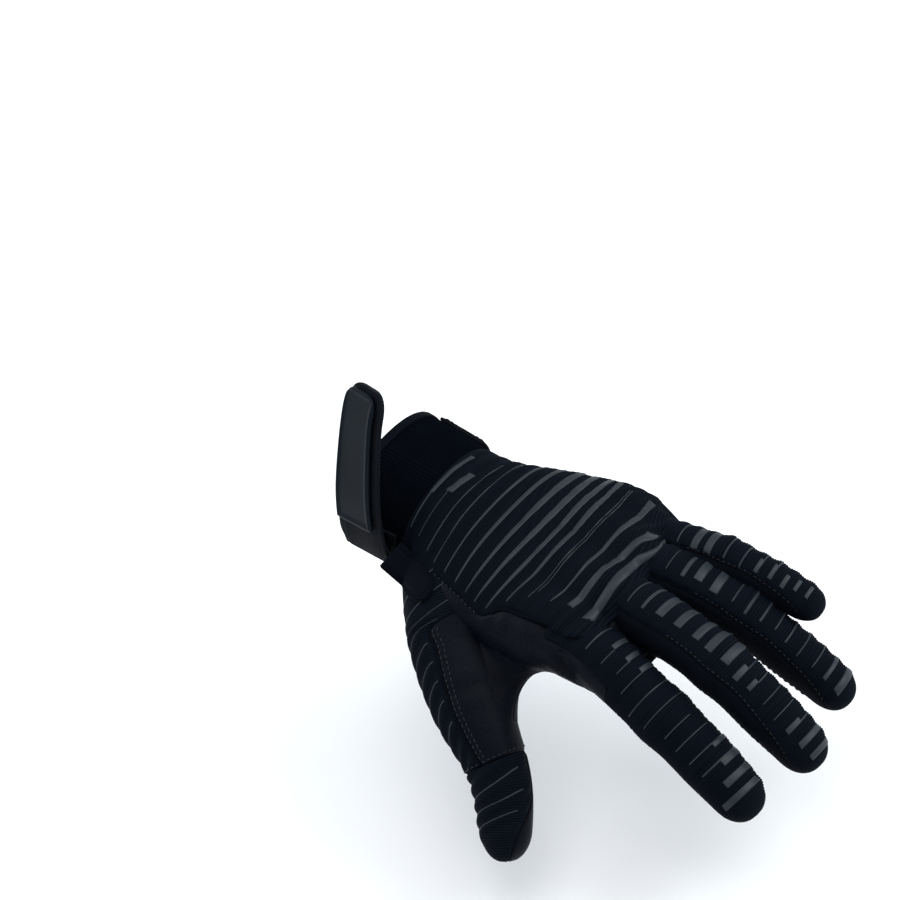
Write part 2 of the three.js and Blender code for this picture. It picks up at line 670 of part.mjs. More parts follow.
// A flat band along the strap's line, between two shares of it, moved out along its normal by lift.
function ribbon(curve, width, thickness, from, to, lift) {
  const length = curve.getLength();
  const shares = [];
  for (let i = 0; i < STRAP_STEPS; i += 1) shares.push(from + ((to - from) * i) / STRAP_STEPS);
  for (const ring of [...STRAP_END.rings, 0]) shares.push(to - (ring * width) / length);
  return loft(shares.map((share) => {
    const { middle, across, normal } = strapFrame(curve, share);
    const full = domeFullness((to - share) * length, STRAP_END.roundOver * width);
    const half = 0.5 * width * THREE.MathUtils.lerp(STRAP_END.least, 1, full);
    const deep = 0.5 * thickness;
    const bevel = 1 - (STRAP_END.bevel * thickness) / half;
    const outline = [[-1, -0.5], [-bevel, -1], [bevel, -1], [1, -0.5], [1, 0.5], [bevel, 1], [-bevel, 1], [-1, 0.5]];
    return outline.map(([a, b]) => middle.clone()
      .addScaledVector(across, a * half)
      .addScaledVector(normal, lift + b * deep));
  }));
}

// The strap's middle line, lift away from the wrist's skin.
function strapLine(lift) {
  const halfWrist = WRIST_BREADTH / 2;
  const points = STRAP_LINE.map((row) => new THREE.Vector3(
    STRAP_AT + row.along * STRAP_WIDTH,
    row.out * halfWrist - lift,
    row.up * STRAP_LENGTH,
  ));
  return new THREE.CatmullRomCurve3(points, false, 'centripetal');
}

// The pad's outline, a tongue with a round end, pushed through the thumb side of the wrist.
function padPrism() {
  const half = 0.5 * PAD_WIDTH;
  const shape = new THREE.Shape();
  shape.moveTo(0, -half);
  shape.absarc(PAD_LENGTH - half, 0, half, -Math.PI / 2, Math.PI / 2, false);
  shape.lineTo(0, half);
  const geometry = new THREE.ExtrudeGeometry(shape, { depth: FAR, bevelEnabled: false, curveSegments: 10 });
  geometry.rotateZ(THREE.MathUtils.degToRad(PAD_SLOPE));
  geometry.rotateX(Math.PI / 2);
  geometry.translate(PAD_START, 0, PAD_LIFT);
  return solidOf(geometry);
}

const [INDEX, MIDDLE, RING, LITTLE] = FINGERS;

const outside = joined([
  handBody(0, true),
  ...FINGERS.map((finger) => fingerTube(finger, 0)),
  thumbTube(0),
  webBody(0),
]);
const inside = joined([
  handBody(-WALL, false),
  ...FINGERS.map((finger) => fingerTube(finger, WALL)),
  thumbTube(WALL),
  webBody(WALL),
]);
const shell = outside.subtract(inside);

const cuffSeam = CUFF_LENGTH + SEAM_GAP;
const pastCuff = shell.intersect(slab(cuffSeam, 2 * (CUFF_TO_KNUCKLES + MIDDLE_LENGTH)));

const thumbTipSkin = pastCuff.intersect(thumbTipZone(0, false));
const beforeTip = pastCuff.subtract(thumbTipZone(SEAM_GAP, false));

const backCutter = (grow) => joined([backZone(grow), ...FINGERS.map((f) => fingerZone(f, 'back', grow))]);
const palmCutter = (grow) => joined([palmZone(grow), ...FINGERS.map((f) => fingerZone(f, 'palm', grow))]);
const backSkin = beforeTip.intersect(backCutter(0));
const underBack = beforeTip.subtract(backCutter(SEAM_GAP));
const thumbBackSkin = underBack.intersect(thumbBackZone(0));
const underThumbBack = underBack.subtract(thumbBackZone(SEAM_GAP));
const palmSkin = underThumbBack.intersect(palmCutter(0));
const sides = underThumbBack.subtract(palmCutter(SEAM_GAP));
const thumbSide = sides.intersect(sideZone(undefined, INDEX));

const gussetEnd = GUSSET_END * CUFF_TO_KNUCKLES;
const gussetSkin = thumbSide.intersect(slab(0, gussetEnd));
const indexSide = thumbSide.intersect(slab(gussetEnd + SEAM_GAP, 2 * FAR + CUFF_TO_KNUCKLES));

const cuffRing = shell.intersect(slab(BINDING_WIDTH + SEAM_GAP, CUFF_LENGTH));
const binding = handBody(BINDING_PROUD, false).subtract(handBody(-WALL, false)).intersect(slab(0, BINDING_WIDTH));

const bandInner = handBody(SEAM_GAP, false);
const bandOuter = handBody(SEAM_GAP + BAND_THICKNESS, false);
const belowBack = cutterAlongX([{ at: -0.5 }, { at: 0.5 }], 0, () => [
  [-FAR, -FAR],
  [FAR, -FAR],
  [FAR, BAND_EDGE.outer * WRIST_DEPTH],
  [-FAR, BAND_EDGE.thumb * WRIST_DEPTH],
]);
const bandStart = BINDING_WIDTH + 2 * SEAM_GAP;
const bandSkin = bandOuter.subtract(bandInner).intersect(slab(bandStart, bandStart + BAND_WIDTH));
const band = bandSkin.intersect(belowBack);

const padSeat = BAND_THICKNESS + 2 * SEAM_GAP;
const padInner = handBody(padSeat, false).add(thumbTube(-2 * SEAM_GAP));
const padOuter = handBody(padSeat + PAD_THICKNESS, false).add(thumbTube(-2 * SEAM_GAP - PAD_THICKNESS));
const padFrom = STRAP_AT + 0.5 * STRAP_WIDTH + 2 * SEAM_GAP;
const pad = padOuter.subtract(padInner).intersect(padPrism()).intersect(slab(padFrom, padFrom + FAR));

const strapSeat = BAND_THICKNESS + 2 * SEAM_GAP + 0.5 * STRAP_THICKNESS;
const strapCurve = strapLine(strapSeat);
const strap = ribbon(strapCurve, STRAP_WIDTH, STRAP_THICKNESS, 0, 1, 0);
const tabLift = 0.5 * (STRAP_THICKNESS + TAB_THICKNESS) + TAB_CLEARANCE;
const tabEnd = 1 - TAB_FROM_END / strapCurve.getLength();
const tabStart = tabEnd - TAB_LENGTH / strapCurve.getLength();
const tab = ribbon(strapCurve, TAB_WIDTH, TAB_THICKNESS, tabStart, tabEnd, TAB_SIDE * tabLift);

const glove = new THREE.Group();
glove.add(
  meshOf('back_panel', backSkin, CLOTH),
  meshOf('palm_panel', palmSkin, LEATHER),
  meshOf('outer_side_panel', sides.intersect(sideZone(LITTLE, undefined)), SIDE_CLOTH),
  meshOf('index_side_panel', indexSide, SIDE_CLOTH),
  meshOf('fourchette_index_middle', sides.intersect(sideZone(INDEX, MIDDLE)), SIDE_CLOTH),
  meshOf('fourchette_middle_ring', sides.intersect(sideZone(MIDDLE, RING)), SIDE_CLOTH),
  meshOf('fourchette_ring_little', sides.intersect(sideZone(RING, LITTLE)), SIDE_CLOTH),
  meshOf('thumb_back', thumbBackSkin, CLOTH),
  meshOf('thumb_gusset', gussetSkin, LEATHER),
  meshOf('thumb_tip', thumbTipSkin.intersect(thumbTipZone(0, true)), CLOTH),
  meshOf('thumb_pad', thumbTipSkin.subtract(thumbTipZone(SEAM_GAP, true)), LEATHER),
  meshOf('rib_cuff', cuffRing, KNIT),
  meshOf('cuff_binding', binding, CLOTH),
  meshOf('cuff_band', band, KNIT),
  meshOf('closure_pad', pad, SIDE_CLOTH),
  meshOf('strap', strap, KNIT),
  meshOf('strap_tab', tab, RUBBER),
);

export default glove;
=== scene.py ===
"""Dresses a left-hand sport glove: ribbed cloth back, leather palm and web, rib cuff and open strap.

All sizes are millimetres in the part's own frame: the origin is the middle of the wrist opening,
+X runs to the fingertips, +Y to the little-finger side and +Z out of the back of the hand.
"""

import logging
from dataclasses import dataclass
from enum import Enum
from typing import Callable

import bmesh
import bpy
import numpy as np
from mathutils import Matrix


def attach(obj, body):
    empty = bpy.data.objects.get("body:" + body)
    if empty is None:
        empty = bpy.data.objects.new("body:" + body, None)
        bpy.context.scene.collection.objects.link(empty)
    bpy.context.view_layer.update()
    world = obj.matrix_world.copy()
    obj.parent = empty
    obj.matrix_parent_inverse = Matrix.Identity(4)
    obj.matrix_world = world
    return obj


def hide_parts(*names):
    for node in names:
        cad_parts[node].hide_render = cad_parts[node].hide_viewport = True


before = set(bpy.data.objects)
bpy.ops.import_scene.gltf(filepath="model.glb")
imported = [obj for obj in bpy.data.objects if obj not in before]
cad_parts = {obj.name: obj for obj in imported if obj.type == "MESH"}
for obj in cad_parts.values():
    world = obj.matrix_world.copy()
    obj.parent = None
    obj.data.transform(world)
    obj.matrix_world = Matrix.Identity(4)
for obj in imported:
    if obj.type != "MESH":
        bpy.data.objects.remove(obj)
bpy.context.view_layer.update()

log = logging.getLogger("glove")
Array = np.ndarray
Relief = Callable[[Array, Array], Array]
Edge = Callable[[Array], Array]
Triple = tuple[float, float, float]

MM = 0.001
FULL_TURN = 2 * np.pi
SAFE_SINE = 0.98
CLOTH_WALL = 1.3
SEAM_GAP = 0.3
WRIST_RADIUS = 26.0
LINE_STEPS = 90
POINTS_AT_ONCE = 20000
NEAR_POLE = 0.9999


@dataclass(frozen=True)
class Table:
    """A short table of shares, read by a smooth curve through its rows."""

    columns: tuple[str, ...]
    rows: tuple[tuple[float, ...], ...]

    def column(self, name: str) -> Array:
        """One column as an array."""
        return np.array([row[self.columns.index(name)] for row in self.rows])

    def read(self, name: str, at: Array) -> Array:
        """Reads a column between rows with a cubic whose slopes come from the rows beside.

        Args:
            name: the column.
            at: shares along the first column.

        Returns:
            The column's values, held at the ends.
        """
        x, y = self.column(self.columns[0]), self.column(name)
        i = np.clip(np.searchsorted(x, at, side="right") - 1, 0, len(x) - 2)
        before, after = np.maximum(i - 1, 0), np.minimum(i + 2, len(x) - 1)
        span = x[i + 1] - x[i]
        t = np.clip((at - x[i]) / span, 0.0, 1.0)
        slope_a = (y[i + 1] - y[before]) * span / (x[i + 1] - x[before])
        slope_b = (y[after] - y[i]) * span / (x[after] - x[i])
        t2, t3 = t * t, t * t * t
        ends = (2 * t3 - 3 * t2 + 1) * y[i] + (3 * t2 - 2 * t3) * y[i + 1]
        return ends + (t3 - 2 * t2 + t) * slope_a + (t3 - t2) * slope_b


@dataclass(frozen=True)
class HandSizes:
    """The hand's driving sizes."""

    cuff_to_knuckles: float = 125.0
    palm_breadth: float = 88.0
    palm_depth: float = 34.0
    wrist_breadth: float = 61.0
    wrist_depth: float = 43.0
    knuckle_arch: float = 14.0
    arch_middle: float = -0.18
    web_depth: float = 15.0
    cuff_length: float = 32.0
    thumb_length: float = 116.0
    thumb_breadth: float = 26.0
    roundness: float = 0.88
    dome_power: float = 2.3
    root_share: float = 0.3
    root_sink: float = 0.06


SIZE = HandSizes()
HALF_PALM = SIZE.palm_breadth / 2
HALF_DEPTH = SIZE.palm_depth / 2

HAND_SECTIONS = Table(
    ("at", "palm", "wide", "deep", "side", "lift", "arch"),
    (
        (0.0, 0.0, 1.0, 1.0, 0.0, 0.0, 0.0),
        (0.16, 0.0, 0.97, 0.97, 0.0, 0.0, 0.0),
        (0.34, 0.0, 0.96, 0.94, 0.0, -0.02, 0.0),
        (0.46, 0.4, 0.97, 0.97, -0.01, -0.08, 0.1),
        (0.6, 0.8, 0.98, 1.06, 0.01, -0.16, 0.35),
        (0.76, 1.0, 0.99, 1.05, 0.05, -0.22, 0.7),
        (0.9, 1.0, 1.01, 0.98, 0.09, -0.22, 1.0),
        (1.0, 1.0, 1.0, 0.92, 0.11, -0.23, 1.0),
        (1.04, 1.0, 0.97, 0.76, 0.12, -0.35, 1.0),
        (1.08, 1.0, 0.93, 0.6, 0.12, -0.46, 1.0),
        (1.13, 1.0, 0.86, 0.4, 0.12, -0.54, 1.0),
        (1.16, 1.0, 0.78, 0.2, 0.12, -0.56, 1.0),
    ),
)

FINGER_SECTIONS = Table(
    ("at", "wide", "deep"),
    (
        (-0.2, 0.86, 0.84), (0.04, 1.0, 1.0), (0.24, 0.99, 0.98), (0.37, 0.97, 0.97),
        (0.46, 1.02, 1.03), (0.57, 0.96, 0.96), (0.72, 0.96, 0.95), (0.87, 0.9, 0.86),
        (0.945, 0.88, 0.83), (1.0, 0.86, 0.81),
    ),
)

THUMB_SECTIONS = Table(
    ("at", "wide", "deep"),
    (
        (0.0, 0.92, 0.96), (0.12, 1.04, 1.06), (0.28, 1.12, 1.14), (0.42, 1.1, 1.12), (0.55, 1.02, 1.03),
        (0.66, 0.97, 0.96), (0.76, 0.95, 0.93), (0.88, 0.88, 0.84), (1.0, 0.76, 0.72),
    ),
)

WEB_SECTIONS = Table(
    ("row", "start", "along", "across", "lift", "thick"),
    (
        (0.0, 0.42, 0.84, -1.46, -1.9, 0.62),
        (0.25, 0.46, 0.82, -1.2, -1.45, 0.6),
        (0.5, 0.5, 0.82, -1.0, -1.15, 0.58),
        (0.75, 0.52, 0.86, -0.82, -0.8, 0.6),
        (1.0, 0.54, 0.93, -0.64, -0.45, 0.62),
    ),
)

BACK_SEAM = Table(
    ("at", "thumb", "outer"),
    (
        (0.2, 0.3, 0.1), (0.4, 0.4, 0.08), (0.55, 0.36, 0.06), (0.68, 0.26, 0.05), (0.73, 0.46, 0.03),
        (0.82, 0.48, 0.02), (0.92, 0.46, 0.0), (1.03, 0.4, 0.0), (1.2, 0.4, 0.0),
    ),
)

PALM_SEAM = Table(
    ("at", "thumb", "outer"),
    ((0.2, -0.5, -0.55), (0.5, -0.6, -0.6), (0.8, -0.8, -0.62), (0.95, -0.9, -0.62), (1.2, -1.0, -0.7)),
)

FINGER_SEAM = Table(
    ("at", "near", "far", "palm", "index"),
    (
        (-0.15, 0.6, 0.2, -0.6, 0.45), (0.235, 0.74, 0.3, -0.52, 0.55), (0.255, 0.74, 0.3, -0.52, -0.15),
        (0.65, 0.68, 0.28, -0.48, -0.12), (0.86, 0.36, 0.16, -0.4, -0.1),
        (0.975, -0.22, -0.22, -0.22, -0.22), (1.1, -0.22, -0.22, -0.22, -0.22),
    ),
)

THUMB_SEAM = Table(
    ("at", "near", "far"),
    (
        (0.0, -0.9, -0.1), (0.2, -0.8, 0.0), (0.27, -0.5, 0.05), (0.3, 0.42, 0.06), (0.36, 0.44, 0.1),
        (0.5, 0.5, 0.12), (0.71, 0.5, 0.12), (0.9, 0.1, -0.1), (1.0, 0.0, -0.1),
    ),
)
TIP_SEAM_AT = 0.71


def smoothstep(x: Array, low: float, high: float) -> Array:
    """Zero below low, one above high, and three t squared less two t cubed between."""
    t = np.clip((x - low) / (high - low), 0.0, 1.0)
    return t * t * (3 - 2 * t)


def unit(vectors: Array) -> Array:
    """Vectors at length one."""
    return vectors / np.maximum(np.linalg.norm(vectors, axis=-1, keepdims=True), 1e-9)


def signed_power(x: Array, power: float) -> Array:
    """A power of the size of x, with the sign of x."""
    return np.sign(x) * np.abs(x) ** power


def bell(x: Array, width: float) -> Array:
    """The exponential of minus x over width squared: one at zero, falling off to both sides."""
    return np.exp(-((x / width) ** 2))


def to_seam(v: Array, breadth: float) -> Array:
    """The way to the nearer of two seams that lie breadth apart."""
    return np.minimum(v, 1 - v) * breadth


def travelled(places: Array) -> Array:
    """How far along the line through all places each of them lies."""
    return np.concatenate([[0.0], np.cumsum(np.linalg.norm(np.diff(places, axis=0), axis=1))])


def read_along(at: Array, knots: Array, rows: Array) -> Array:
    """Rows of three numbers, read between knots."""
    return np.stack([np.interp(at, knots, rows[:, k]) for k in range(3)], axis=-1)


def oblong(sides: int, wide_power: float, deep_power: float) -> tuple[Array, Array]:
    """A rounded oblong's section: signed powers of the cosine and the sine of a full turn."""
    turn = np.linspace(0.0, FULL_TURN, sides, endpoint=False)
    return signed_power(np.cos(turn), wide_power), signed_power(np.sin(turn), deep_power)


def turned_out(points: Array, uv: Array, row: int, column: int, outward: Array) -> tuple[Array, Array]:
    """A grid whose cross product of slopes at a row and column points outward, turned over if need be."""
    here = points[row, column]
    facing = np.cross(points[row + 1, column] - here, points[row, column + 1] - here)
    return (points[:, ::-1], uv[:, ::-1]) if facing @ outward < 0 else (points, uv)


def hand_point(along: Array, across: Array, lift: Array) -> Array:
    """A place from shares of the hand's sizes."""
    parts = np.broadcast_arrays(along * SIZE.cuff_to_knuckles, across * HALF_PALM, lift * HALF_DEPTH)
    return np.stack(parts, axis=-1)


def fullness(from_tip: Array, dome: float) -> Array:
    """How full a round end is: one less the power of its depth, to the inverse power."""
    t = np.clip(1 - np.maximum(from_tip, 0.0) / dome, 0.0, 1.0)
    return (1 - t ** SIZE.dome_power) ** (1 / SIZE.dome_power)


class Shape:
    """A closed form with a skin over two parameters: u along it and turn, in radians, round it."""

    outward: float = 1.0

    def surface(self, u: Array, turn: Array) -> Array:
        """Places on the skin."""
        raise NotImplementedError

    def distance(self, points: Array) -> Array:
        """Rough distance outside the skin, negative inside."""
        raise NotImplementedError

    def normals(self, u: Array, turn: Array) -> Array:
        """Outward directions: the cross product of the skin's two slopes by small steps."""
        step = 1e-3
        inside = np.minimum(u, self.last() - 2 * step)
        slope_u = self.surface(inside + step, turn) - self.surface(inside - step, turn)
        slope_v = self.surface(inside, turn + step) - self.surface(inside, turn - step)
        return unit(np.cross(slope_u, slope_v)) * self.outward

    def last(self) -> float:
        """The largest u on the skin."""
        return 1.0


def ellipse_distance(a: Array, b: Array, wide: Array, deep: Array) -> Array:
    """Distance to an ellipse: its level less one, over the slope of that level."""
    level = np.sqrt((a / wide) ** 2 + (b / deep) ** 2) + 1e-6
    slope = np.sqrt((a / wide ** 2) ** 2 + (b / deep ** 2) ** 2) / level + 1e-6
    return (level - 1) / slope


class HandShape(Shape):
    """The hand from wrist to webs: rings of a rounded oval, bent back by the arch of the knuckles."""

    outward = -1.0

    def halves(self, u: Array) -> tuple[Array, Array]:
        """Half breadth and half depth at a share of the cuff-to-knuckle length."""
        palm = HAND_SECTIONS.read("palm", u)
        wide = SIZE.wrist_breadth + palm * (SIZE.palm_breadth - SIZE.wrist_breadth)
        deep = SIZE.wrist_depth + palm * (SIZE.palm_depth - SIZE.wrist_depth)
        return 0.5 * wide * HAND_SECTIONS.read("wide", u), 0.5 * deep * HAND_SECTIONS.read("deep", u)

    def surface(self, u: Array, turn: Array) -> Array:
        """Signed powers of cosine and sine on the half sizes, then x less the arch by reach squared."""
        half_wide, half_deep = self.halves(u)
        across = half_wide * signed_power(np.cos(turn), SIZE.roundness)
        raised = half_deep * signed_power(np.sin(turn), SIZE.roundness)
        y = HAND_SECTIONS.read("side", u) * HALF_PALM + across
        z = HAND_SECTIONS.read("lift", u) * HALF_DEPTH + raised
        reach = y / HALF_PALM - SIZE.arch_middle
        x = u * SIZE.cuff_to_knuckles - HAND_SECTIONS.read("arch", u) * SIZE.knuckle_arch * reach ** 2
        return np.stack([x, y, z], axis=-1)

    def station(self, points: Array) -> Array:
        """The share along the hand at which a place lies, with the arch taken out in three steps."""
        reach = points[..., 1] / HALF_PALM - SIZE.arch_middle
        u = points[..., 0] / SIZE.cuff_to_knuckles
        for _ in range(3):
            arch = HAND_SECTIONS.read("arch", u) * SIZE.knuckle_arch * reach ** 2
            u = (points[..., 0] + arch) / SIZE.cuff_to_knuckles
        return u

    def distance(self, points: Array) -> Array:
        """The oval's level less one times its smaller half, and past the end the way to it."""
        u = self.station(points)
        half_wide, half_deep = self.halves(u)
        y = points[..., 1] - HAND_SECTIONS.read("side", u) * HALF_PALM
        z = points[..., 2] - HAND_SECTIONS.read("lift", u) * HALF_DEPTH
        power = 2 / SIZE.roundness
        level = (np.abs(y / half_wide) ** power + np.abs(z / half_deep) ** power) ** (1 / power)
        radius = np.hypot(y, z) / np.maximum(level, 1e-6)
        past = (u - self.last()) * SIZE.cuff_to_knuckles
        return np.maximum((level - 1) * radius, past)

    def last(self) -> float:
        """The largest share of the hand's table."""
        return HAND_SECTIONS.rows[-1][0]

    def turn_at(self, u: Array, height: Array, thumb_side: bool) -> Array:
        """The turn at which the ring at u reaches a height, given in shares of the half depth."""
        _, half_deep = self.halves(u)
        share = (height - HAND_SECTIONS.read("lift", u)) * HALF_DEPTH / half_deep
        turn = np.arcsin(signed_power(np.clip(share, -SAFE_SINE, SAFE_SINE), 1 / SIZE.roundness))
        return np.pi - turn if thumb_side else turn

    def seam(self, table: Table, column: str) -> Edge:
        """The turn of a seam that a table's thumb or outer column gives."""
        return lambda u: self.turn_at(u, table.read(column, u), column == "thumb")


class Line:
    """A smooth line through points, read by share of its length with the frame that rides on it."""

    def __init__(self, points: Array, back: Triple) -> None:
        """Joins the points by cubics whose knots lie apart by the roots of the gaps.

        Args:
            points: the line's points, in order.
            back: the way that the frame's up leans to.
        """
        ends = np.vstack([2 * points[0] - points[1], points, 2 * points[-1] - points[-2]])
        gaps = np.sqrt(np.linalg.norm(np.diff(ends, axis=0), axis=1))
        t = np.linspace(0.0, 1.0, LINE_STEPS, endpoint=False)[:, None]
        runs = []
        for i in range(len(points) - 1):
            p0, p1, p2, p3 = ends[i:i + 4]
            g0, g1, g2 = gaps[i:i + 3]
            m1 = ((p1 - p0) / g0 - (p2 - p0) / (g0 + g1) + (p2 - p1) / g1) * g1
            m2 = ((p2 - p1) / g1 - (p3 - p1) / (g1 + g2) + (p3 - p2) / g2) * g1
            cubic = (2 * p1 - 2 * p2 + m1 + m2) * t ** 3 + (-3 * p1 + 3 * p2 - 2 * m1 - m2) * t ** 2
            runs.append(cubic + m1 * t + p1)
        self.samples = np.vstack([*runs, points[-1:]])
        way = travelled(self.samples)
        self.length = float(way[-1])
        self.shares = way / self.length
        self.on = unit(np.gradient(self.samples, axis=0))
        self.back = np.array(back)

    def frames(self, share: Array) -> tuple[Array, Array, Array, Array]:
        """Middle, way on, side and up at shares of the line; past its ends it runs straight on."""
        inside = np.clip(share, 0.0, 1.0)
        middle = read_along(inside, self.shares, self.samples)
        on = unit(read_along(inside, self.shares, self.on))
        middle = middle + on * ((share - inside) * self.length)[..., None]
        side = unit(np.cross(on, self.back))
        return middle, on, side, unit(np.cross(side, on))


class TubeShape(Shape):
    """A finger or thumb: ovals along a line, closed by a dome."""

    def __init__(self, line: Line, sections: Table, breadth: float, dome: float, lead: float) -> None:
        """Keeps the line and the sections.

        Args:
            line: the middle line.
            sections: width and depth as shares of breadth.
            breadth: the tube's breadth.
            dome: the dome's length.
            lead: the share of the tube's length that its line runs back before it.
        """
        self.line, self.sections, self.breadth = line, sections, breadth
        self.dome, self.lead = dome, lead

    def share(self, u: Array) -> Array:
        """The table's share at a share of the line."""
        return u * (1 + self.lead) - self.lead

    def along(self, share: Array) -> Array:
        """The line's share at a share of the table."""
        return (share + self.lead) / (1 + self.lead)

    def halves(self, u: Array) -> tuple[Array, Array]:
        """Half width and half depth at shares of the line."""
        full = fullness((1 - u) * self.line.length, self.dome)
        at = self.share(u)
        wide = 0.5 * self.breadth * self.sections.read("wide", at) * full
        return wide, 0.5 * self.breadth * self.sections.read("deep", at) * full

    def surface(self, u: Array, turn: Array) -> Array:
        """The line's middle plus cosine times the side half and sine times the up half."""
        middle, _, side, up = self.line.frames(u)
        wide, deep = self.halves(u)
        return middle + side * (wide * np.cos(turn))[..., None] + up * (deep * np.sin(turn))[..., None]

    def distance(self, points: Array) -> Array:
        """The distance to the oval at the nearest place on the line, found among its samples."""
        flat = points.reshape(-1, 3)
        u = np.zeros(len(flat))
        coarse = np.linspace(0.0, 1.0, 60)
        marks, on_marks, _, _ = self.line.frames(coarse)
        for start in range(0, len(flat), POINTS_AT_ONCE):
            part = flat[start:start + POINTS_AT_ONCE]
            gaps = ((part[:, None, :] - marks[None]) ** 2).sum(-1)
            best = gaps.argmin(1)
            slip = ((part - marks[best]) * on_marks[best]).sum(-1) / self.line.length
            u[start:start + POINTS_AT_ONCE] = np.clip(coarse[best] + slip, 0.0, 0.998)
        middle, on, side, up = self.line.frames(u)
        wide, deep = self.halves(u)
        off = flat - middle
        a, b = (off * side).sum(-1), (off * up).sum(-1)
        ring = ellipse_distance(a, b, np.maximum(wide, 0.5), np.maximum(deep, 0.5))
        past = np.abs((off * on).sum(-1))
        return np.where(past > 0.5, np.hypot(np.maximum(ring, 0.0), past), ring).reshape(points.shape[:-1])

    def turn_at(self, u: Array, height: Array, far_side: bool) -> Array:
        """The turn at which the oval at u reaches a height in half breadths."""
        deep = np.maximum(self.sections.read("deep", self.share(u)), 0.1)
        turn = np.arcsin(np.clip(height / deep, -SAFE_SINE, SAFE_SINE))
        return np.pi - turn if far_side else turn


class WebShape(Shape):
    """The web between thumb and index finger: flat ovals, each from the hand out to its free edge."""

    facing = np.array([0.0, -0.62, -0.78])
    start_across = 0.55
    start_lift = 0.45

    def ovals(self, u: Array) -> tuple[Array, Array, Array, Array, Array]:
        """Middle, long way, thick way and the two halves of the oval at u."""
        across, lift = WEB_SECTIONS.read("across", u), WEB_SECTIONS.read("lift", u)
        edge = hand_point(WEB_SECTIONS.read("along", u), across, lift)
        start = hand_point(WEB_SECTIONS.read("start", u), self.start_across * across, self.start_lift * lift)
        half = 0.5 * np.linalg.norm(edge - start, axis=-1)
        on = unit(edge - start)
        thick = WEB_SECTIONS.read("thick", u) * SIZE.web_depth
        return 0.5 * (edge + start), on, unit(np.cross(self.facing, on)), half, thick

    def surface(self, u: Array, turn: Array) -> Array:
        """The oval's middle plus cosine times its long half and sine times its thick half."""
        middle, on, normal, half, thick = self.ovals(u)
        return middle + on * (half * np.cos(turn))[..., None] + normal * (thick * np.sin(turn))[..., None]

    def distance(self, points: Array) -> Array:
        """The distance to the oval whose plane lies nearest, and past the first or last the way to it."""
        flat = points.reshape(-1, 3)
        marks = np.linspace(0.0, 1.0, 25)
        middle, on, normal, half, thick = self.ovals(marks)
        third = unit(np.cross(on, normal))
        best = np.full(len(flat), 1e9)
        for k in range(len(marks)):
            off = flat - middle[k]
            ring = ellipse_distance(off @ on[k], off @ normal[k], half[k], thick[k])
            past = off @ third[k]
            beside = np.hypot(np.maximum(ring, 0.0), past)
            best = np.minimum(best, beside + np.minimum(ring, 0.0) * (np.abs(past) < 1.5))
        return best.reshape(points.shape[:-1])


@dataclass(frozen=True)
class FingerSizes:
    """One finger's sizes: its knuckle as shares of the hand, its spread and bends in degrees."""

    name: str
    along: float
    across: float
    lift: float
    length: float
    breadth: float
    spread: float
    bends: Triple
    joints: Triple

    def shape(self) -> TubeShape:
        """The finger's tube on a line that starts in the palm and turns down at each joint."""
        knuckle = hand_point(self.along, self.across, self.lift)
        root_length = SIZE.root_share * self.length
        points = [knuckle + np.array([-root_length, 0.0, -SIZE.root_sink * root_length]), knuckle]
        turns = np.radians(np.cumsum(self.bends))
        spread = np.radians(self.spread)
        for bend, share in zip(turns, self.joints):
            way = np.array([np.cos(spread) * np.cos(bend), np.sin(spread) * np.cos(bend), -np.sin(bend)])
            points.append(points[-1] + way * share * self.length)
        line = Line(np.array(points), (0.0, 0.0, 1.0))
        return TubeShape(line, FINGER_SECTIONS, self.breadth, 0.56 * self.breadth, SIZE.root_share)


FINGERS = (
    FingerSizes("index", 0.976, -0.59, 0.05, 99.0, 24.6, -5.8, (18.6, 8.4, 5.4), (0.45, 0.27, 0.28)),
    FingerSizes("middle", 1.0, -0.05, 0.28, 106.0, 24.0, -1.6, (9.4, 22.0, 5.0), (0.454, 0.278, 0.268)),
    FingerSizes("ring", 0.944, 0.41, 0.2, 103.0, 21.8, 7.6, (15.8, 16.0, 6.6), (0.45, 0.275, 0.275)),
    FingerSizes("little", 0.88, 0.77, -0.17, 81.0, 17.4, 7.4, (-4.6, 14.4, 10.5), (0.44, 0.262, 0.298)),
)


def thumb_shape() -> TubeShape:
    """The thumb's tube on a line from inside the hand out through its three bones."""
    points = [hand_point(0.3, -0.3, -0.2), hand_point(0.4, -0.71, -0.45)]
    ways = ((0.41, 0.7, -0.6, -0.387), (0.29, 0.76, -0.39, -0.52), (0.3, 0.5, -0.64, -0.585))
    for share, *way in ways:
        points.append(points[-1] + unit(np.array(way)) * share * SIZE.thumb_length)
    line = Line(np.array(points), (-0.66, -0.75, 0.07))
    return TubeShape(line, THUMB_SECTIONS, SIZE.thumb_breadth, 0.5 * SIZE.thumb_breadth, 0.0)


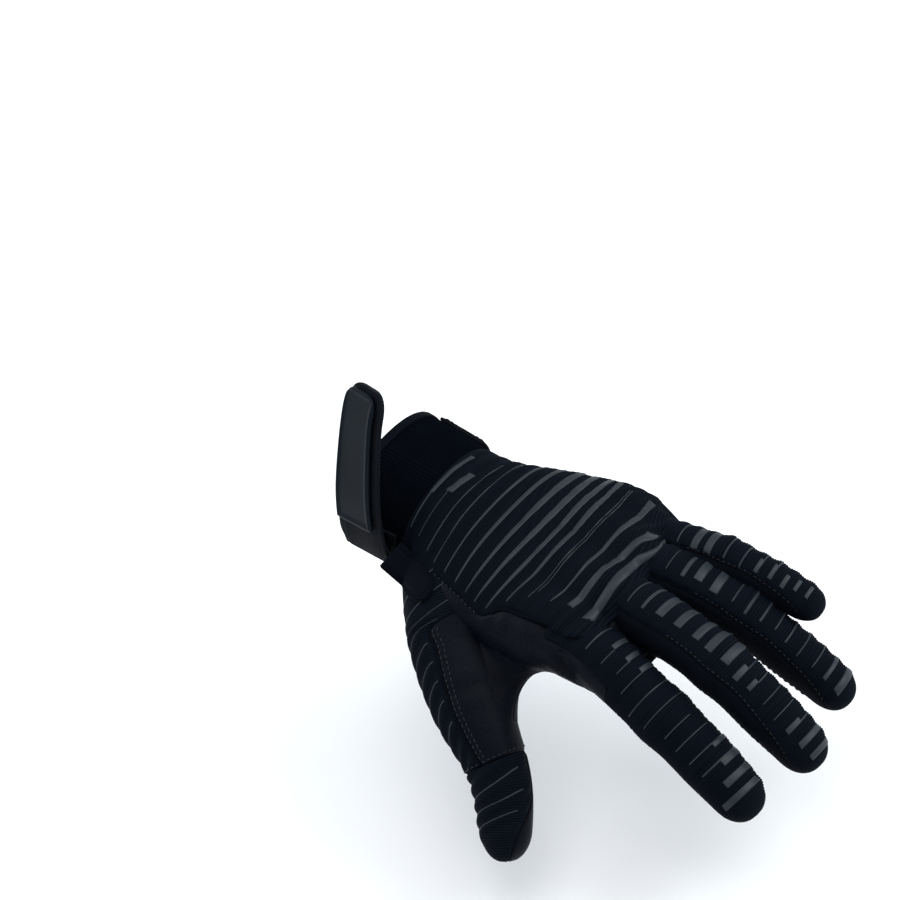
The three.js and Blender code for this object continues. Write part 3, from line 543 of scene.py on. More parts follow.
class GloveForm:
    """All the shapes whose soft union is the glove's skin."""

    def __init__(self) -> None:
        """Makes the shapes and says how softly each pair runs together."""
        self.hand = HandShape()
        self.fingers = {finger.name: finger.shape() for finger in FINGERS}
        self.thumb = thumb_shape()
        self.web = WebShape()
        probe = self.web.normals(np.array([0.5]), np.array([1.2]))
        at = self.web.surface(np.array([0.5]), np.array([1.2]))
        if self.web.distance(at + probe)[0] < self.web.distance(at - probe)[0]:
            self.web.outward = -1.0

    def softness(self, own: Shape, other: Shape) -> float:
        """How wide the blend between two shapes is, in millimetres."""
        pair = {id(own), id(other)}
        if id(self.web) in pair or pair == {id(self.hand), id(self.thumb)}:
            return 13.0
        return 9.0 if id(self.hand) in pair else 4.0

    def swell(self, own: Shape, points: Array, cover: Array | float = 0.0) -> Array:
        """How far the skin moves out so that shapes run together.

        For each other shape at distance b it adds k/4 times (1 - |b|/k) squared, and where cover is
        one and the place lies inside the other shape, the way out of it.

        Args:
            own: the shape that the places are on.
            points: the places.
            cover: how much this skin also covers the other shapes, from 0 to 1.

        Returns:
            The way out, in millimetres.
        """
        out = np.zeros(points.shape[:-1])
        for other in (self.hand, self.thumb, self.web, *self.fingers.values()):
            if other is own:
                continue
            k = self.softness(own, other)
            b = other.distance(points)
            soft = np.maximum(1 - np.abs(b) / k, 0.0) ** 2 * k / 4
            out = np.maximum(out, soft + np.maximum(-b, 0.0) * cover)
        return out

    def union_distance(self, points: Array) -> Array:
        """Distance to the nearest of the hand, the thumb and the web."""
        parts = [shape.distance(points) for shape in (self.hand, self.thumb, self.web)]
        return np.minimum.reduce(parts)


def flat_relief(along: Array, v: Array) -> Array:
    """No relief."""
    return np.zeros(np.broadcast(along, v).shape)


@dataclass
class Sheet:
    """A grid of places with its pattern coordinates, ready to be a mesh."""

    points: Array
    uv: Array
    round_closed: bool = False
    pole_first: bool = False
    pole_last: bool = False

    def faces(self) -> tuple[Array, Array, list[Array]]:
        """Vertices, their pattern coordinates, and the quads and triangles between them."""
        rows, columns = self.points.shape[:2]
        index = np.arange(rows * columns).reshape(rows, columns)
        first, last = int(self.pole_first), rows - int(self.pole_last)
        body = index[first:last]
        right = np.roll(body, -1, axis=1) if self.round_closed else body[:, 1:]
        left = body if self.round_closed else body[:, :-1]
        quads = np.stack([left[:-1], left[1:], right[1:], right[:-1]], axis=-1).reshape(-1, 4)
        fans = []
        if self.pole_first:
            hub = np.full(left.shape[1], index[0, 0])
            fans.append(np.stack([hub, left[0], right[0]], axis=-1))
        if self.pole_last:
            hub = np.full(left.shape[1], index[-1, 0])
            fans.append(np.stack([left[-1], hub, right[-1]], axis=-1))
        return self.points.reshape(-1, 3), self.uv.reshape(-1, 2), [quads, *fans]


@dataclass
class Patch:
    """A part of a shape's skin between two seams, from one place along it to another."""

    form: GloveForm
    shape: Shape
    start: float
    end: float
    left: Edge
    right: Edge
    scale: float
    relief: Relief = flat_relief
    cover: Callable[[Array], Array] | None = None

    def place(self, along: Array, v: Array, lift: Array | float = 0.0) -> Array:
        """Places at millimetres along and shares across, lifted off the skin.

        The skin's place, plus its outward direction times the soft union's swell, the relief and lift.

        Args:
            along: millimetres along the shape.
            v: shares from the left seam to the right seam.
            lift: millimetres off the skin.

        Returns:
            Places in millimetres.
        """
        along, v = np.broadcast_arrays(along, v)
        u = along / self.scale
        turn = self.left(u) + v * (self.right(u) - self.left(u))
        ground = self.shape.surface(u, turn)
        normals = self.shape.normals(u, turn)
        cover = self.cover(u) if self.cover else 0.0
        out = self.form.swell(self.shape, ground, cover) + self.relief(along, v) + lift
        return ground + normals * out[..., None]

    def sheet(self, rows: int, columns: int, pole: bool = False) -> Sheet:
        """The patch as a grid that faces outwards.

        Args:
            rows: how many rows along.
            columns: how many columns across.
            pole: whether the last row closes to a point.

        Returns:
            The grid, with millimetres along and across as its pattern coordinates.
        """
        along = np.linspace(self.start, self.end, rows)[:, None]
        v = np.linspace(0.0, 1.0, columns)[None, :]
        points = self.place(along, v)
        if pole:
            points[-1] = points[-1].mean(axis=0)
        steps = np.cumsum(np.linalg.norm(np.diff(points, axis=1), axis=2), axis=1)
        across = np.concatenate([np.zeros((rows, 1)), steps], axis=1)
        across = across - across[:, columns // 2][:, None]
        uv = np.stack([np.broadcast_to(along, across.shape), across], axis=-1)
        u = along[rows // 2:rows // 2 + 1] / self.scale
        turn = self.left(u) + 0.5 * (self.right(u) - self.left(u))
        outward = self.shape.normals(u, turn)[0, 0]
        return Sheet(*turned_out(points, uv, rows // 2, columns // 2, outward), pole_last=pole)

    def seam(self, v: float, start: float, end: float, count: int, lift: float = 0.0) -> tuple[Array, Array]:
        """Places and outward ways along a line of constant v."""
        along = np.linspace(start, end, count)
        places = self.place(along, np.full(count, v), lift)
        raised = self.place(along, np.full(count, v), lift + 1.0)
        return places, unit(raised - places)

    def cord(self, v: float, start: float, end: float, count: int, lift: float, radius: float) -> "Sheet":
        """A cord along a line of constant v."""
        return tube_along(*self.seam(v, start, end, count, lift), radius)

    def sewn(self, v: float, start: float, end: float, count: int, lift: float,
             thread: Triple) -> list["Sheet"]:
        """Stitches along a line of constant v; thread holds their pitch, length and radius."""
        return stitches(*self.seam(v, start, end, count, lift), *thread)


def tube_along(places: Array, outward: Array, radius: float, sides: int = 8) -> Sheet:
    """A round cord along places: each plus radius times cosine out and sine sideways, closed at the ends."""
    on = unit(np.gradient(places, axis=0))
    side = unit(np.cross(on, outward))
    out = unit(np.cross(side, on))
    turn = np.linspace(0.0, FULL_TURN, sides, endpoint=False)
    swell = np.full(len(places), radius)
    swell[[0, -1]] = 0.0
    ring = out[:, None] * np.cos(turn)[None, :, None] + side[:, None] * np.sin(turn)[None, :, None]
    points = places[:, None] + ring * swell[:, None, None]
    uv = np.stack(np.broadcast_arrays(travelled(places)[:, None], turn[None, :] * radius), axis=-1)
    return Sheet(points[:, ::-1], uv[:, ::-1], round_closed=True, pole_first=True, pole_last=True)


def stitches(places: Array, outward: Array, pitch: float, length: float, radius: float) -> list[Sheet]:
    """Short threads laid along a line at a pitch, each a bead that swells from its ends."""
    way = travelled(places)
    starts = np.arange(0.5 * pitch, way[-1] - length, pitch)
    shares = np.linspace(0.0, 1.0, 5)
    sheets = []
    for start in starts:
        s = start + shares * length
        out = unit(read_along(s, way, outward))
        middle = read_along(s, way, places) + out * (radius * np.sin(np.pi * shares))[:, None] * 0.7
        sheets.append(tube_along(middle, out, radius, 6))
    return sheets


def make_piece(name: str, sheets: list[Sheet], finish: "Finishes", nodes: tuple[str, ...] = (),
               wall: float = 0.0) -> bpy.types.Object:
    """Puts grids into one mesh and dresses it.

    Args:
        name: the piece's name.
        sheets: its grids.
        finish: its finish.
        nodes: the solids that it stands for.
        wall: the thickness that it gets inwards, in millimetres.

    Returns:
        The new object.
    """
    vertices, coordinates, loops, starts = [], [], [], []
    base, loop_base = 0, 0
    for sheet in sheets:
        points, uv, groups = sheet.faces()
        for group in groups:
            loops.append((group + base).ravel())
            starts.append(loop_base + np.arange(len(group)) * group.shape[1])
            loop_base += group.size
        vertices.append(points)
        coordinates.append(uv)
        base += len(points)
    index = np.concatenate(loops).astype(np.int32)
    mesh = bpy.data.meshes.new(name)
    mesh.vertices.add(base)
    mesh.vertices.foreach_set("co", (np.concatenate(vertices) * MM).astype(np.float32).ravel())
    mesh.loops.add(len(index))
    mesh.loops.foreach_set("vertex_index", index)
    first = np.concatenate(starts).astype(np.int32)
    mesh.polygons.add(len(first))
    mesh.polygons.foreach_set("loop_start", first)
    mesh.polygons.foreach_set("use_smooth", np.ones(len(first), dtype=bool))
    layer = mesh.uv_layers.new(name="UVMap")
    layer.data.foreach_set("uv", np.concatenate(coordinates)[index].astype(np.float32).ravel())
    mesh.update(calc_edges=True)
    mesh.validate()
    piece = bpy.data.objects.new(name, mesh)
    bpy.context.scene.collection.objects.link(piece)
    drop_loose(piece)
    if wall:
        solid = piece.modifiers.new("wall", "SOLIDIFY")
        solid.thickness = wall * MM
        solid.offset = -1.0
    mesh.materials.append(finish.value.material())
    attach(piece, "root")
    if nodes:
        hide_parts(*nodes)
    log.info("%s: %d faces", name, len(mesh.polygons))
    return piece


def make_panel(name: str, finish: "Finishes", node: str, *sheets: Sheet) -> None:
    """A panel of cloth or leather with a wall, which stands for one solid."""
    make_piece(name, list(sheets), finish, (node,), CLOTH_WALL)


def drop_loose(piece: bpy.types.Object) -> None:
    """Takes out the spare vertices that a closed end leaves."""
    work = bmesh.new()
    work.from_mesh(piece.data)
    loose = [vertex for vertex in work.verts if not vertex.link_faces]
    bmesh.ops.delete(work, geom=loose, context="VERTS")
    work.to_mesh(piece.data)
    work.free()


class Graph:
    """A material's nodes, added one by one."""

    def __init__(self, name: str) -> None:
        """Starts a material with a plain shader."""
        self.material = bpy.data.materials.new(name)
        self.material.use_nodes = True
        self.tree = self.material.node_tree
        self.shader = self.tree.nodes["Principled BSDF"]

    def link(self, value: object, socket: bpy.types.NodeSocket) -> None:
        """Joins an output to an input, or sets the input."""
        if isinstance(value, bpy.types.NodeSocket):
            self.tree.links.new(value, socket)
        else:
            socket.default_value = value

    def node(self, kind: str, inputs: dict[str | int, object] | None = None,
             **settings: object) -> bpy.types.Node:
        """Adds a node, with its settings and its inputs by name or number."""
        made = self.tree.nodes.new(kind)
        for key, value in settings.items():
            setattr(made, key, value)
        for key, value in (inputs or {}).items():
            self.link(value, made.inputs[key])
        return made

    def math(self, operation: str, a: object, b: object = 0.0, c: object = 0.0) -> bpy.types.NodeSocket:
        """One sum on up to three values."""
        return self.node("ShaderNodeMath", {0: a, 1: b, 2: c}, operation=operation).outputs[0]

    def uv(self) -> tuple[bpy.types.NodeSocket, bpy.types.NodeSocket]:
        """Millimetres along and across the piece."""
        source = self.node("ShaderNodeTexCoord").outputs["UV"]
        parts = self.node("ShaderNodeSeparateXYZ", {0: source})
        return parts.outputs[0], parts.outputs[1]

    def place(self) -> bpy.types.NodeSocket:
        """Object coordinates, in metres."""
        return self.node("ShaderNodeTexCoord").outputs["Object"]

    def wave(self, value: object, pitch: float) -> bpy.types.NodeSocket:
        """A sine of a length in millimetres, from 0 to 1, once for each pitch."""
        turn = self.math("MULTIPLY", value, FULL_TURN / pitch)
        return self.math("MULTIPLY_ADD", self.math("SINE", turn), 0.5, 0.5)

    def noise(self, scale: float, detail: float = 3.0, rough: float = 0.55) -> bpy.types.NodeSocket:
        """Cloudy noise on Object coordinates; scale is how many clouds a metre holds."""
        node = self.node("ShaderNodeTexNoise", {"Vector": self.place(), "Scale": scale, "Detail": detail,
                                                "Roughness": rough})
        return node.outputs["Fac"]

    def mix(self, factor: object, first: Triple, second: Triple) -> bpy.types.NodeSocket:
        """A colour between two, by a factor."""
        node = self.node("ShaderNodeMix", data_type="RGBA")
        self.link(factor, node.inputs[0])
        node.inputs[6].default_value = (*first, 1.0)
        node.inputs[7].default_value = (*second, 1.0)
        return node.outputs[2]

    def span(self, value: object, low: float, high: float) -> bpy.types.NodeSocket:
        """A value from 0 to 1 moved to run from low to high."""
        return self.math("MULTIPLY_ADD", value, high - low, low)

    def bump(self, height: object, depth: float) -> None:
        """Raises the surface by a height from 0 to 1 times a depth in millimetres."""
        node = self.node("ShaderNodeBump", {"Height": height, "Distance": depth * MM, "Strength": 1.0})
        self.link(node.outputs[0], self.shader.inputs["Normal"])

    def set(self, **values: object) -> None:
        """Sets the shader's own sockets."""
        for key, value in values.items():
            self.link(value, self.shader.inputs[key.replace("_", " ")])

    def dress(self, colour: object, rough: object, shine: float, height: object,
              depth: float) -> bpy.types.Material:
        """Sets colour, roughness, shine and a bump of a depth in millimetres; gives the material."""
        self.set(Base_Color=colour, Roughness=rough, Specular_IOR_Level=shine)
        self.bump(height, depth)
        return self.material


@dataclass(frozen=True)
class Finish:
    """A finish and the record's slot that it belongs to."""

    name: str
    slot: str

    def material(self) -> bpy.types.Material:
        """The finish's material, made once."""
        made = bpy.data.materials.get(self.name)
        return made if made else self.make()

    def make(self) -> bpy.types.Material:
        """Makes the material."""
        raise NotImplementedError


@dataclass(frozen=True)
class RibbedCloth(Finish):
    """Stretch cloth with fine ribs across its length and loops along them."""

    pitch: float = 1.05
    loop: float = 0.8
    dark: Triple = (0.0006, 0.0012, 0.0026)
    light: Triple = (0.0036, 0.0056, 0.0105)

    def make(self) -> bpy.types.Material:
        """Ribs by a sine along, loops by a sine across, cloudy wear in colour and roughness, and painted
        shade that darkens the colour where ribs and loops are low.
        """
        g = Graph(self.name)
        along, across = g.uv()
        rib = g.math("POWER", g.wave(along, self.pitch), 0.7)
        loops = g.wave(across, self.loop)
        height = g.math("MULTIPLY_ADD", loops, 0.25, g.math("MULTIPLY", rib, 0.75))
        cloud = g.noise(90.0)
        # painted shade: the colour darkens where ribs and loops are low, varied by cloudy tone
        painted_shade_and_tone = g.math("MULTIPLY", height, g.span(cloud, 0.55, 1.3))
        g.set(Sheen_Weight=0.006, Sheen_Roughness=0.3, Sheen_Tint=(0.75, 0.85, 1.0, 1.0))
        return g.dress(g.mix(painted_shade_and_tone, self.dark, self.light), g.span(cloud, 0.72, 0.92), 0.035, height, 0.18)


@dataclass(frozen=True)
class RaisedPrint(Finish):
    """Satin rubber print that follows the cloth's ribs."""

    low: Triple = (0.008, 0.0115, 0.015)
    high: Triple = (0.021, 0.028, 0.035)

    def make(self) -> bpy.types.Material:
        """A grey that wanders with noise, with fine grain."""
        g = Graph(self.name)
        cloud = g.noise(160.0, 4.0)
        grain = g.noise(2600.0, 2.0)
        return g.dress(g.mix(cloud, self.low, self.high), g.span(cloud, 0.42, 0.62), 0.22, grain, 0.05)


@dataclass(frozen=True)
class Leather(Finish):
    """Satin leather with a pebbled grain."""

    grain: float = 1100.0
    dark: Triple = (0.0006, 0.0011, 0.0024)
    light: Triple = (0.0032, 0.0048, 0.0090)

    def make(self) -> bpy.types.Material:
        """Cells for the pebbles, noise for pores and soft creases, roughness that wanders with cloudy noise,
        and painted shade that darkens the colour in the valleys.
        """
        g = Graph(self.name)
        cell_inputs = {"Vector": g.place(), "Scale": self.grain, "Randomness": 1.0}
        cells = g.node("ShaderNodeTexVoronoi", cell_inputs, feature="SMOOTH_F1")
        cloud = g.noise(70.0, 4.0)
        pores = g.noise(3200.0, 3.0)
        pebble = g.math("SUBTRACT", 1.0, cells.outputs["Distance"])
        height = g.math("MULTIPLY_ADD", pores, 0.25, g.math("MULTIPLY", pebble, 0.75))
        # painted shade: the colour darkens in the grain's valleys, varied by cloudy tone
        painted_shade_and_tone = g.math("MULTIPLY", height, g.span(cloud, 0.4, 1.4))
        return g.dress(g.mix(painted_shade_and_tone, self.dark, self.light), g.span(cloud, 0.38, 0.56), 0.05, height, 0.16)


@dataclass(frozen=True)
class WovenCloth(Finish):
    """Flat cloth with a fine woven face; pitch is the gap between its threads."""

    pitch: float = 0.55
    depth: float = 0.08
    dark: Triple = (0.0006, 0.0012, 0.0025)
    light: Triple = (0.0034, 0.0054, 0.0100)
    rough: tuple[float, float] = (0.66, 0.86)
    shine: float = 0.04

    def make(self) -> bpy.types.Material:
        """Threads by two crossed sines, with cloudy wear, and painted shade that darkens the colour between
        the threads.
        """
        g = Graph(self.name)
        along, across = g.uv()
        height = g.math("MULTIPLY", g.wave(along, self.pitch), g.wave(across, self.pitch))
        cloud = g.noise(80.0)
        # painted shade: the colour darkens between the threads, varied by cloudy tone
        painted_shade_and_tone = g.math("MULTIPLY", g.span(height, 0.35, 1.0), cloud)
        colour = g.mix(painted_shade_and_tone, self.dark, self.light)
        return g.dress(colour, g.span(cloud, *self.rough), self.shine, height, self.depth)


@dataclass(frozen=True)
class StrapRubber(Finish):
    """Satin moulded rubber, painted a little lighter along its edges as a highlight."""

    low: Triple = (0.0012, 0.0028, 0.0052)
    high: Triple = (0.0045, 0.0080, 0.0125)

    def make(self) -> bpy.types.Material:
        """A blue grey that wanders with noise and a painted highlight on convex edges by pointiness, with
        fine moulded grain.
        """
        g = Graph(self.name)
        cloud = g.noise(60.0, 3.0)
        grain = g.noise(1800.0, 2.0)
        edge = g.node("ShaderNodeNewGeometry").outputs["Pointiness"]
        # painted highlight: convex edges are lighter by pointiness, plus cloudy tone
        edge_highlight_and_tone = g.math("MULTIPLY_ADD", edge, 0.6, g.math("MULTIPLY", cloud, 0.6))
        return g.dress(g.mix(edge_highlight_and_tone, self.low, self.high), g.span(cloud, 0.4, 0.55), 0.07, grain, 0.03)


@dataclass(frozen=True)
class Thread(Finish):
    """Twisted sewing thread."""

    dark: Triple = (0.0010, 0.0018, 0.0034)
    light: Triple = (0.0040, 0.0062, 0.0105)

    def make(self) -> bpy.types.Material:
        """Twists by a sine that runs along and round the thread; the same sine paints the colour darker in
        the twist's grooves as painted shade.
        """
        g = Graph(self.name)
        along, across = g.uv()
        twist = g.wave(g.math("ADD", along, across), 0.4)
        # painted shade: the colour is darker where the twist's sine is low
        return g.dress(g.mix(twist, self.dark, self.light), 0.6, 0.5, twist, 0.05)


class Finishes(Enum):
    """The glove's finishes."""

    RIBBED = RibbedCloth("ribbed_stretch_cloth", "ribbed_cloth")
    PRINT = RaisedPrint("raised_rubber_print", "raised_print")
    LEATHER = Leather("pebbled_leather", "leather")
    SIDE = WovenCloth("smooth_side_cloth", "side_cloth")
    KNIT = WovenCloth("ribbed_cuff_knit", "rib_knit", 0.5, 0.1, (0.0006, 0.0011, 0.0023),
                      (0.0034, 0.0054, 0.0100), (0.8, 0.95), 0.02)
    ELASTIC = WovenCloth("embossed_elastic", "elastic_band", 1.3, 0.16, (0.0007, 0.0013, 0.0026),
                         (0.0044, 0.0068, 0.0118), (0.6, 0.8), 0.08)
    TAPE = WovenCloth("folded_tape", "binding_tape", 0.6, 0.08)
    RUBBER = StrapRubber("moulded_rubber", "strap_rubber")
    THREAD = Thread("sewing_thread", "stitching")


@dataclass(frozen=True)
class Bar:
    """A printed line: its width, its places as millimetres along and shares across, its last width."""

    width: float
    places: tuple[tuple[float, float], ...]
    end_width: float | None = None


BEND_SOFTNESS = 0.12
BAR_ACROSS = np.array([-1.0, -0.9, -0.6, 0.0, 0.6, 0.9, 1.0])
BAR_RISE = np.array([0.0, 0.6, 0.95, 1.0, 0.95, 0.6, 0.0])
BAR_ALONG = np.concatenate([[0.0, 0.01], np.linspace(0.02, 0.98, 46), [0.99, 1.0]])
BAR_ENDS = np.array([0.0, 0.6, *([1.0] * 46), 0.6, 0.0])
BAR_ROW, BAR_COLUMN = 20, 3


def print_bars(patch: Patch, bars: tuple[Bar, ...], height: float = 0.34, tuck: float = 0.2) -> list[Sheet]:
    """Low flat ridges on a patch.

    Each is a grid: bent softly through its places, and across its width it rises from tuck under the
    skin to height, stays flat, and goes under again.

    Args:
        patch: the patch that carries them.
        bars: the lines.
        height: how high they stand.
        tuck: how far their edges lie under the skin.

    Returns:
        One grid for each line.
    """
    profile = BAR_RISE * height
    profile[[0, -1]] = -tuck
    t = BAR_ALONG
    soft = np.clip(t[:, None] + BEND_SOFTNESS * np.linspace(-1.0, 1.0, 7)[None, :], 0.0, 1.0)
    at = np.s_[BAR_ROW:BAR_ROW + 1, BAR_COLUMN:BAR_COLUMN + 1]
    sheets = []
    for bar in bars:
        stops = np.array(bar.places)
        knots = np.linspace(0.0, 1.0, len(stops))
        middle = np.interp(soft, knots, stops[:, 0]).mean(axis=1)
        last = bar.width if bar.end_width is None else bar.end_width
        width = bar.width + (last - bar.width) * t ** 1.5
        along = middle[:, None] + 0.5 * width[:, None] * BAR_ACROSS[None, :]
        v = np.broadcast_to(np.interp(t, knots, stops[:, 1])[:, None], along.shape)
        points = patch.place(along, v, -tuck + (profile[None, :] + tuck) * BAR_ENDS[:, None])
        outward = patch.place(along[at], v[at], 5.0)[0, 0] - points[BAR_ROW, BAR_COLUMN]
        uv = np.stack([along, v * 30.0], axis=-1)
        sheets.append(Sheet(*turned_out(points, uv, BAR_ROW, BAR_COLUMN, outward)))
    return sheets


@dataclass
class BackOfHand:
    """The ribbed back of the hand, with pleats over the knuckles and printed lines across."""

    form: GloveForm
    pleat_start: float = 112.0
    pleat_pitch: float = 5.0
    pleat_height: float = 0.9
    pleats: int = 4
    rib_pitch: float = 6.6
    rib_height: float = 0.4
    fine_pitch: float = 1.25
    fine_height: float = 0.15
    lean: float = 55.0
    last: float = 1.13
    seam_breadth: float = 90.0
    rib_rise: tuple[float, float] = (34.0, 44.0)
    rib_fall: tuple[float, float] = (108.0, 114.0)
    lean_over: tuple[float, float] = (55.0, 105.0)
    hand_over: tuple[float, float] = (127.0, 136.0)
    sink: float = 1.3

    def station(self, along: Array, v: Array) -> Array:
        """The place along at the thumb side of the rib that passes here, with its lean taken out."""
        back = np.maximum(0.58 - v, 0.0)
        station = along - 0.4 * self.lean * smoothstep(along, *self.lean_over) * back
        return along - self.lean * smoothstep(station, *self.lean_over) * back

    def relief(self, along: Array, v: Array) -> Array:
        """Pleats by a squared sine over the knuckles, low ribs before them, and a tuck at each seam."""
        station = self.station(along, v)
        wave = (station - self.pleat_start) / self.pleat_pitch
        pleats = self.pleat_height * np.sin(np.pi * wave) ** 2 * ((wave > 0) & (wave < self.pleats))
        ribs = self.rib_height * np.sin(np.pi * (station - 39.0) / self.rib_pitch) ** 2
        ribs = ribs * smoothstep(along, *self.rib_rise) * (1 - smoothstep(station, *self.rib_fall))
        ribs = ribs + self.fine_height * np.cos(FULL_TURN * station / self.fine_pitch)
        tuck = -0.7 * bell(to_seam(v, self.seam_breadth), 1.1) - 0.5 * bell(along - SIZE.cuff_length, 1.2)
        sag = 0.35 * np.sin(along / 9.0 + 5.0 * v) * np.sin(7.0 * v) * smoothstep(along, 36.0, 60.0)
        return pleats + ribs + tuck + sag - self.sink * smoothstep(along, *self.hand_over)

    def patch(self) -> Patch:
        """The skin between the outer seam and the thumb-side seam."""
        hand, scale = self.form.hand, SIZE.cuff_to_knuckles
        return Patch(
            self.form, hand, SIZE.cuff_length + SEAM_GAP, self.last * scale,
            hand.seam(BACK_SEAM, "outer"), hand.seam(BACK_SEAM, "thumb"), scale, self.relief,
            lambda u: 1 - smoothstep(u * scale, *self.hand_over),
        )

    bars: tuple[Bar, ...] = (
        Bar(1.9, ((36.0, 0.34), (34.6, 0.48), (34.0, 0.62))), Bar(0.5, ((34.0, 0.6), (34.4, 0.85))),
        Bar(3.2, ((42.6, 0.46), (40.0, 0.58))), Bar(0.5, ((39.6, 0.56), (39.8, 0.88))),
        Bar(0.5, ((48.6, 0.3), (46.2, 0.58), (46.8, 0.93))),
        Bar(0.5, ((53.0, 0.2), (51.4, 0.6), (52.6, 0.95))),
        Bar(1.8, ((61.0, 0.06), (59.5, 0.3), (58.2, 0.6), (59.0, 0.95)), 0.6),
        Bar(2.8, ((69.5, 0.05), (67.0, 0.3), (65.6, 0.6), (65.6, 0.95)), 0.6),
        Bar(4.0, ((79.5, 0.05), (75.5, 0.32), (73.2, 0.58), (72.4, 0.95)), 0.6),
        Bar(4.4, ((88.5, 0.06), (84.0, 0.3), (79.8, 0.6), (78.6, 0.95)), 0.6),
        Bar(4.4, ((98.5, 0.08), (91.5, 0.34), (86.4, 0.62), (85.2, 0.95)), 0.6),
        Bar(4.0, ((106.5, 0.1), (98.5, 0.36), (93.0, 0.62), (91.6, 0.95)), 0.6),
        Bar(0.6, ((113.5, 0.18), (106.0, 0.4), (98.8, 0.6), (98.2, 0.9))),
        Bar(0.6, ((115.0, 0.18), (107.5, 0.4), (100.3, 0.6), (99.7, 0.85))),
        Bar(3.2, ((124.5, 0.2), (119.0, 0.4), (109.6, 0.6), (107.4, 0.88)), 0.6),
        Bar(3.1, ((127.0, 0.42), (121.4, 0.54), (117.0, 0.66), (115.6, 0.86))),
        Bar(3.1, ((131.0, 0.46), (124.4, 0.59), (123.4, 0.7), (124.6, 0.88))),
    )

    def build(self) -> None:
        """Makes the cloth and its print."""
        patch = self.patch()
        make_panel("back_of_hand", Finishes.RIBBED, "back_panel", patch.sheet(rows=430, columns=106))
        make_piece("back_print", print_bars(patch, self.bars), Finishes.PRINT)
        threads = patch.sewn(1.0, 36.0, 84.0, 90, 0.1, (2.6, 1.8, 0.22))
        make_piece("thumb_seam_thread", threads, Finishes.THREAD)


@dataclass
class FingerSkins:
    """The skins of one finger: ribbed back, leather front and a smooth wall on each side."""

    form: GloveForm
    sizes: FingerSizes
    bars: tuple[Bar, ...]
    wave_pitch: float = 7.1
    wave_height: float = 0.55
    rib_pitch: float = 1.05
    rib_height: float = 0.16
    start_share: float = -0.1
    wall_end: float = 0.972
    crease_shares: Triple = (0.12, 0.45, 0.72)

    def __post_init__(self) -> None:
        """Keeps the finger's shape and the millimetres of its line."""
        self.shape = self.form.fingers[self.sizes.name]
        self.scale = self.shape.line.length
        self.start = float(self.shape.along(self.start_share)) * self.scale
        self.wave_from = self.bars[1].places[0][0]

    def along(self, share: float) -> float:
        """Millimetres along the line at a share of the finger."""
        return float(self.shape.along(share)) * self.scale

    def edge(self, column: str, far_side: bool) -> Edge:
        """The turn of a seam along the finger."""
        return lambda u: self.shape.turn_at(u, FINGER_SEAM.read(column, self.shape.share(u)), far_side)

    def base_sink(self, along: Array) -> Array:
        """How far the finger's skin lies under the hand's before it takes over."""
        return -1.3 * (1 - smoothstep(self.shape.share(along / self.scale), 0.02, 0.12))

    def back_relief(self, along: Array, v: Array) -> Array:
        """Low waves across, a swelling and small folds over each joint, and tucked seams."""
        share = self.shape.share(along / self.scale)
        waves = self.wave_height * np.sin(np.pi * (along - self.wave_from) / self.wave_pitch) ** 2
        waves = waves + self.rib_height * np.cos(FULL_TURN * along / self.rib_pitch)
        joints = 0.0
        for at, high in ((0.45, 1.3), (0.72, 0.5)):
            near = bell(share - at, 0.045)
            joints = joints + near * (high * 0.6 + 0.3 * np.sin(FULL_TURN * along / 2.6))
        middle = np.sin(np.pi * np.clip(v, 0.0, 1.0))
        edge = to_seam(v, 1.3) * self.sizes.breadth
        fade = 1 - smoothstep(share, 0.9, 0.99)
        tuck = -0.55 * bell(edge, 0.8) * fade
        return (waves + joints * middle) * fade * smoothstep(edge, 0.0, 3.0) + tuck + self.base_sink(along)

    def smooth_relief(self, along: Array, v: Array, breadths: float, shape: Array | float) -> Array:
        """A shape that is full in the middle, between tucked seams that lie so many breadths apart."""
        fade = 1 - smoothstep(self.shape.share(along / self.scale), 0.88, 0.97)
        tuck = -0.5 * bell(to_seam(v, breadths) * self.sizes.breadth, 0.8) * fade
        return tuck + shape * np.sin(np.pi * np.clip(v, 0, 1)) * fade + self.base_sink(along)

    def wall_relief(self, along: Array, v: Array) -> Array:
        """Tucked seams and a faint sag between them."""
        return self.smooth_relief(along, v, 0.6, -0.3)

    def front_relief(self, along: Array, v: Array) -> Array:
        """A crease across each joint, soft pads between, and tucked seams."""
        creases = 0.0
        for at in self.crease_shares:
            off = (self.shape.share(along / self.scale) - at) * self.sizes.length
            creases = creases - 1.0 * bell(off, 1.6) + 0.35 * bell(off, 4.5)
        return self.smooth_relief(along, v, 1.1, creases)

    def skin(self, start: float, end: float, left: Edge, right: Edge, relief: Relief) -> Patch:
        """A patch of the finger's skin."""
        return Patch(self.form, self.shape, start, end, left, right, self.scale, relief)

    def near_edge(self) -> Edge:
        """The back's seam on the thumb's side, which on the index finger has a column of its own."""
        return self.edge("index" if self.sizes.name == "index" else "near", False)

    def back(self) -> Patch:
        """The ribbed back between its two seams."""
        return self.skin(self.start, self.scale * NEAR_POLE, self.near_edge(), self.edge("far", True),
                         self.back_relief)

    def front(self) -> Patch:
        """The leather front, round the underside."""
        palm = self.edge("palm", False)
        return self.skin(self.start, self.scale * NEAR_POLE, lambda u: palm(u) + FULL_TURN,
                         self.edge("palm", True), self.front_relief)

    def near_wall(self, start: float | None = None, end: float | None = None) -> Patch:
        """The wall that faces the thumb, or a part of it."""
        first = self.start if start is None else start
        last = self.along(self.wall_end) if end is None else end
        return self.skin(first, last, self.edge("palm", False), self.near_edge(), self.wall_relief)

    def far_wall(self) -> Patch:
        """The wall that faces the little finger's side."""
        return self.skin(self.start, self.along(self.wall_end), self.edge("far", True),
                         self.edge("palm", True), self.wall_relief)


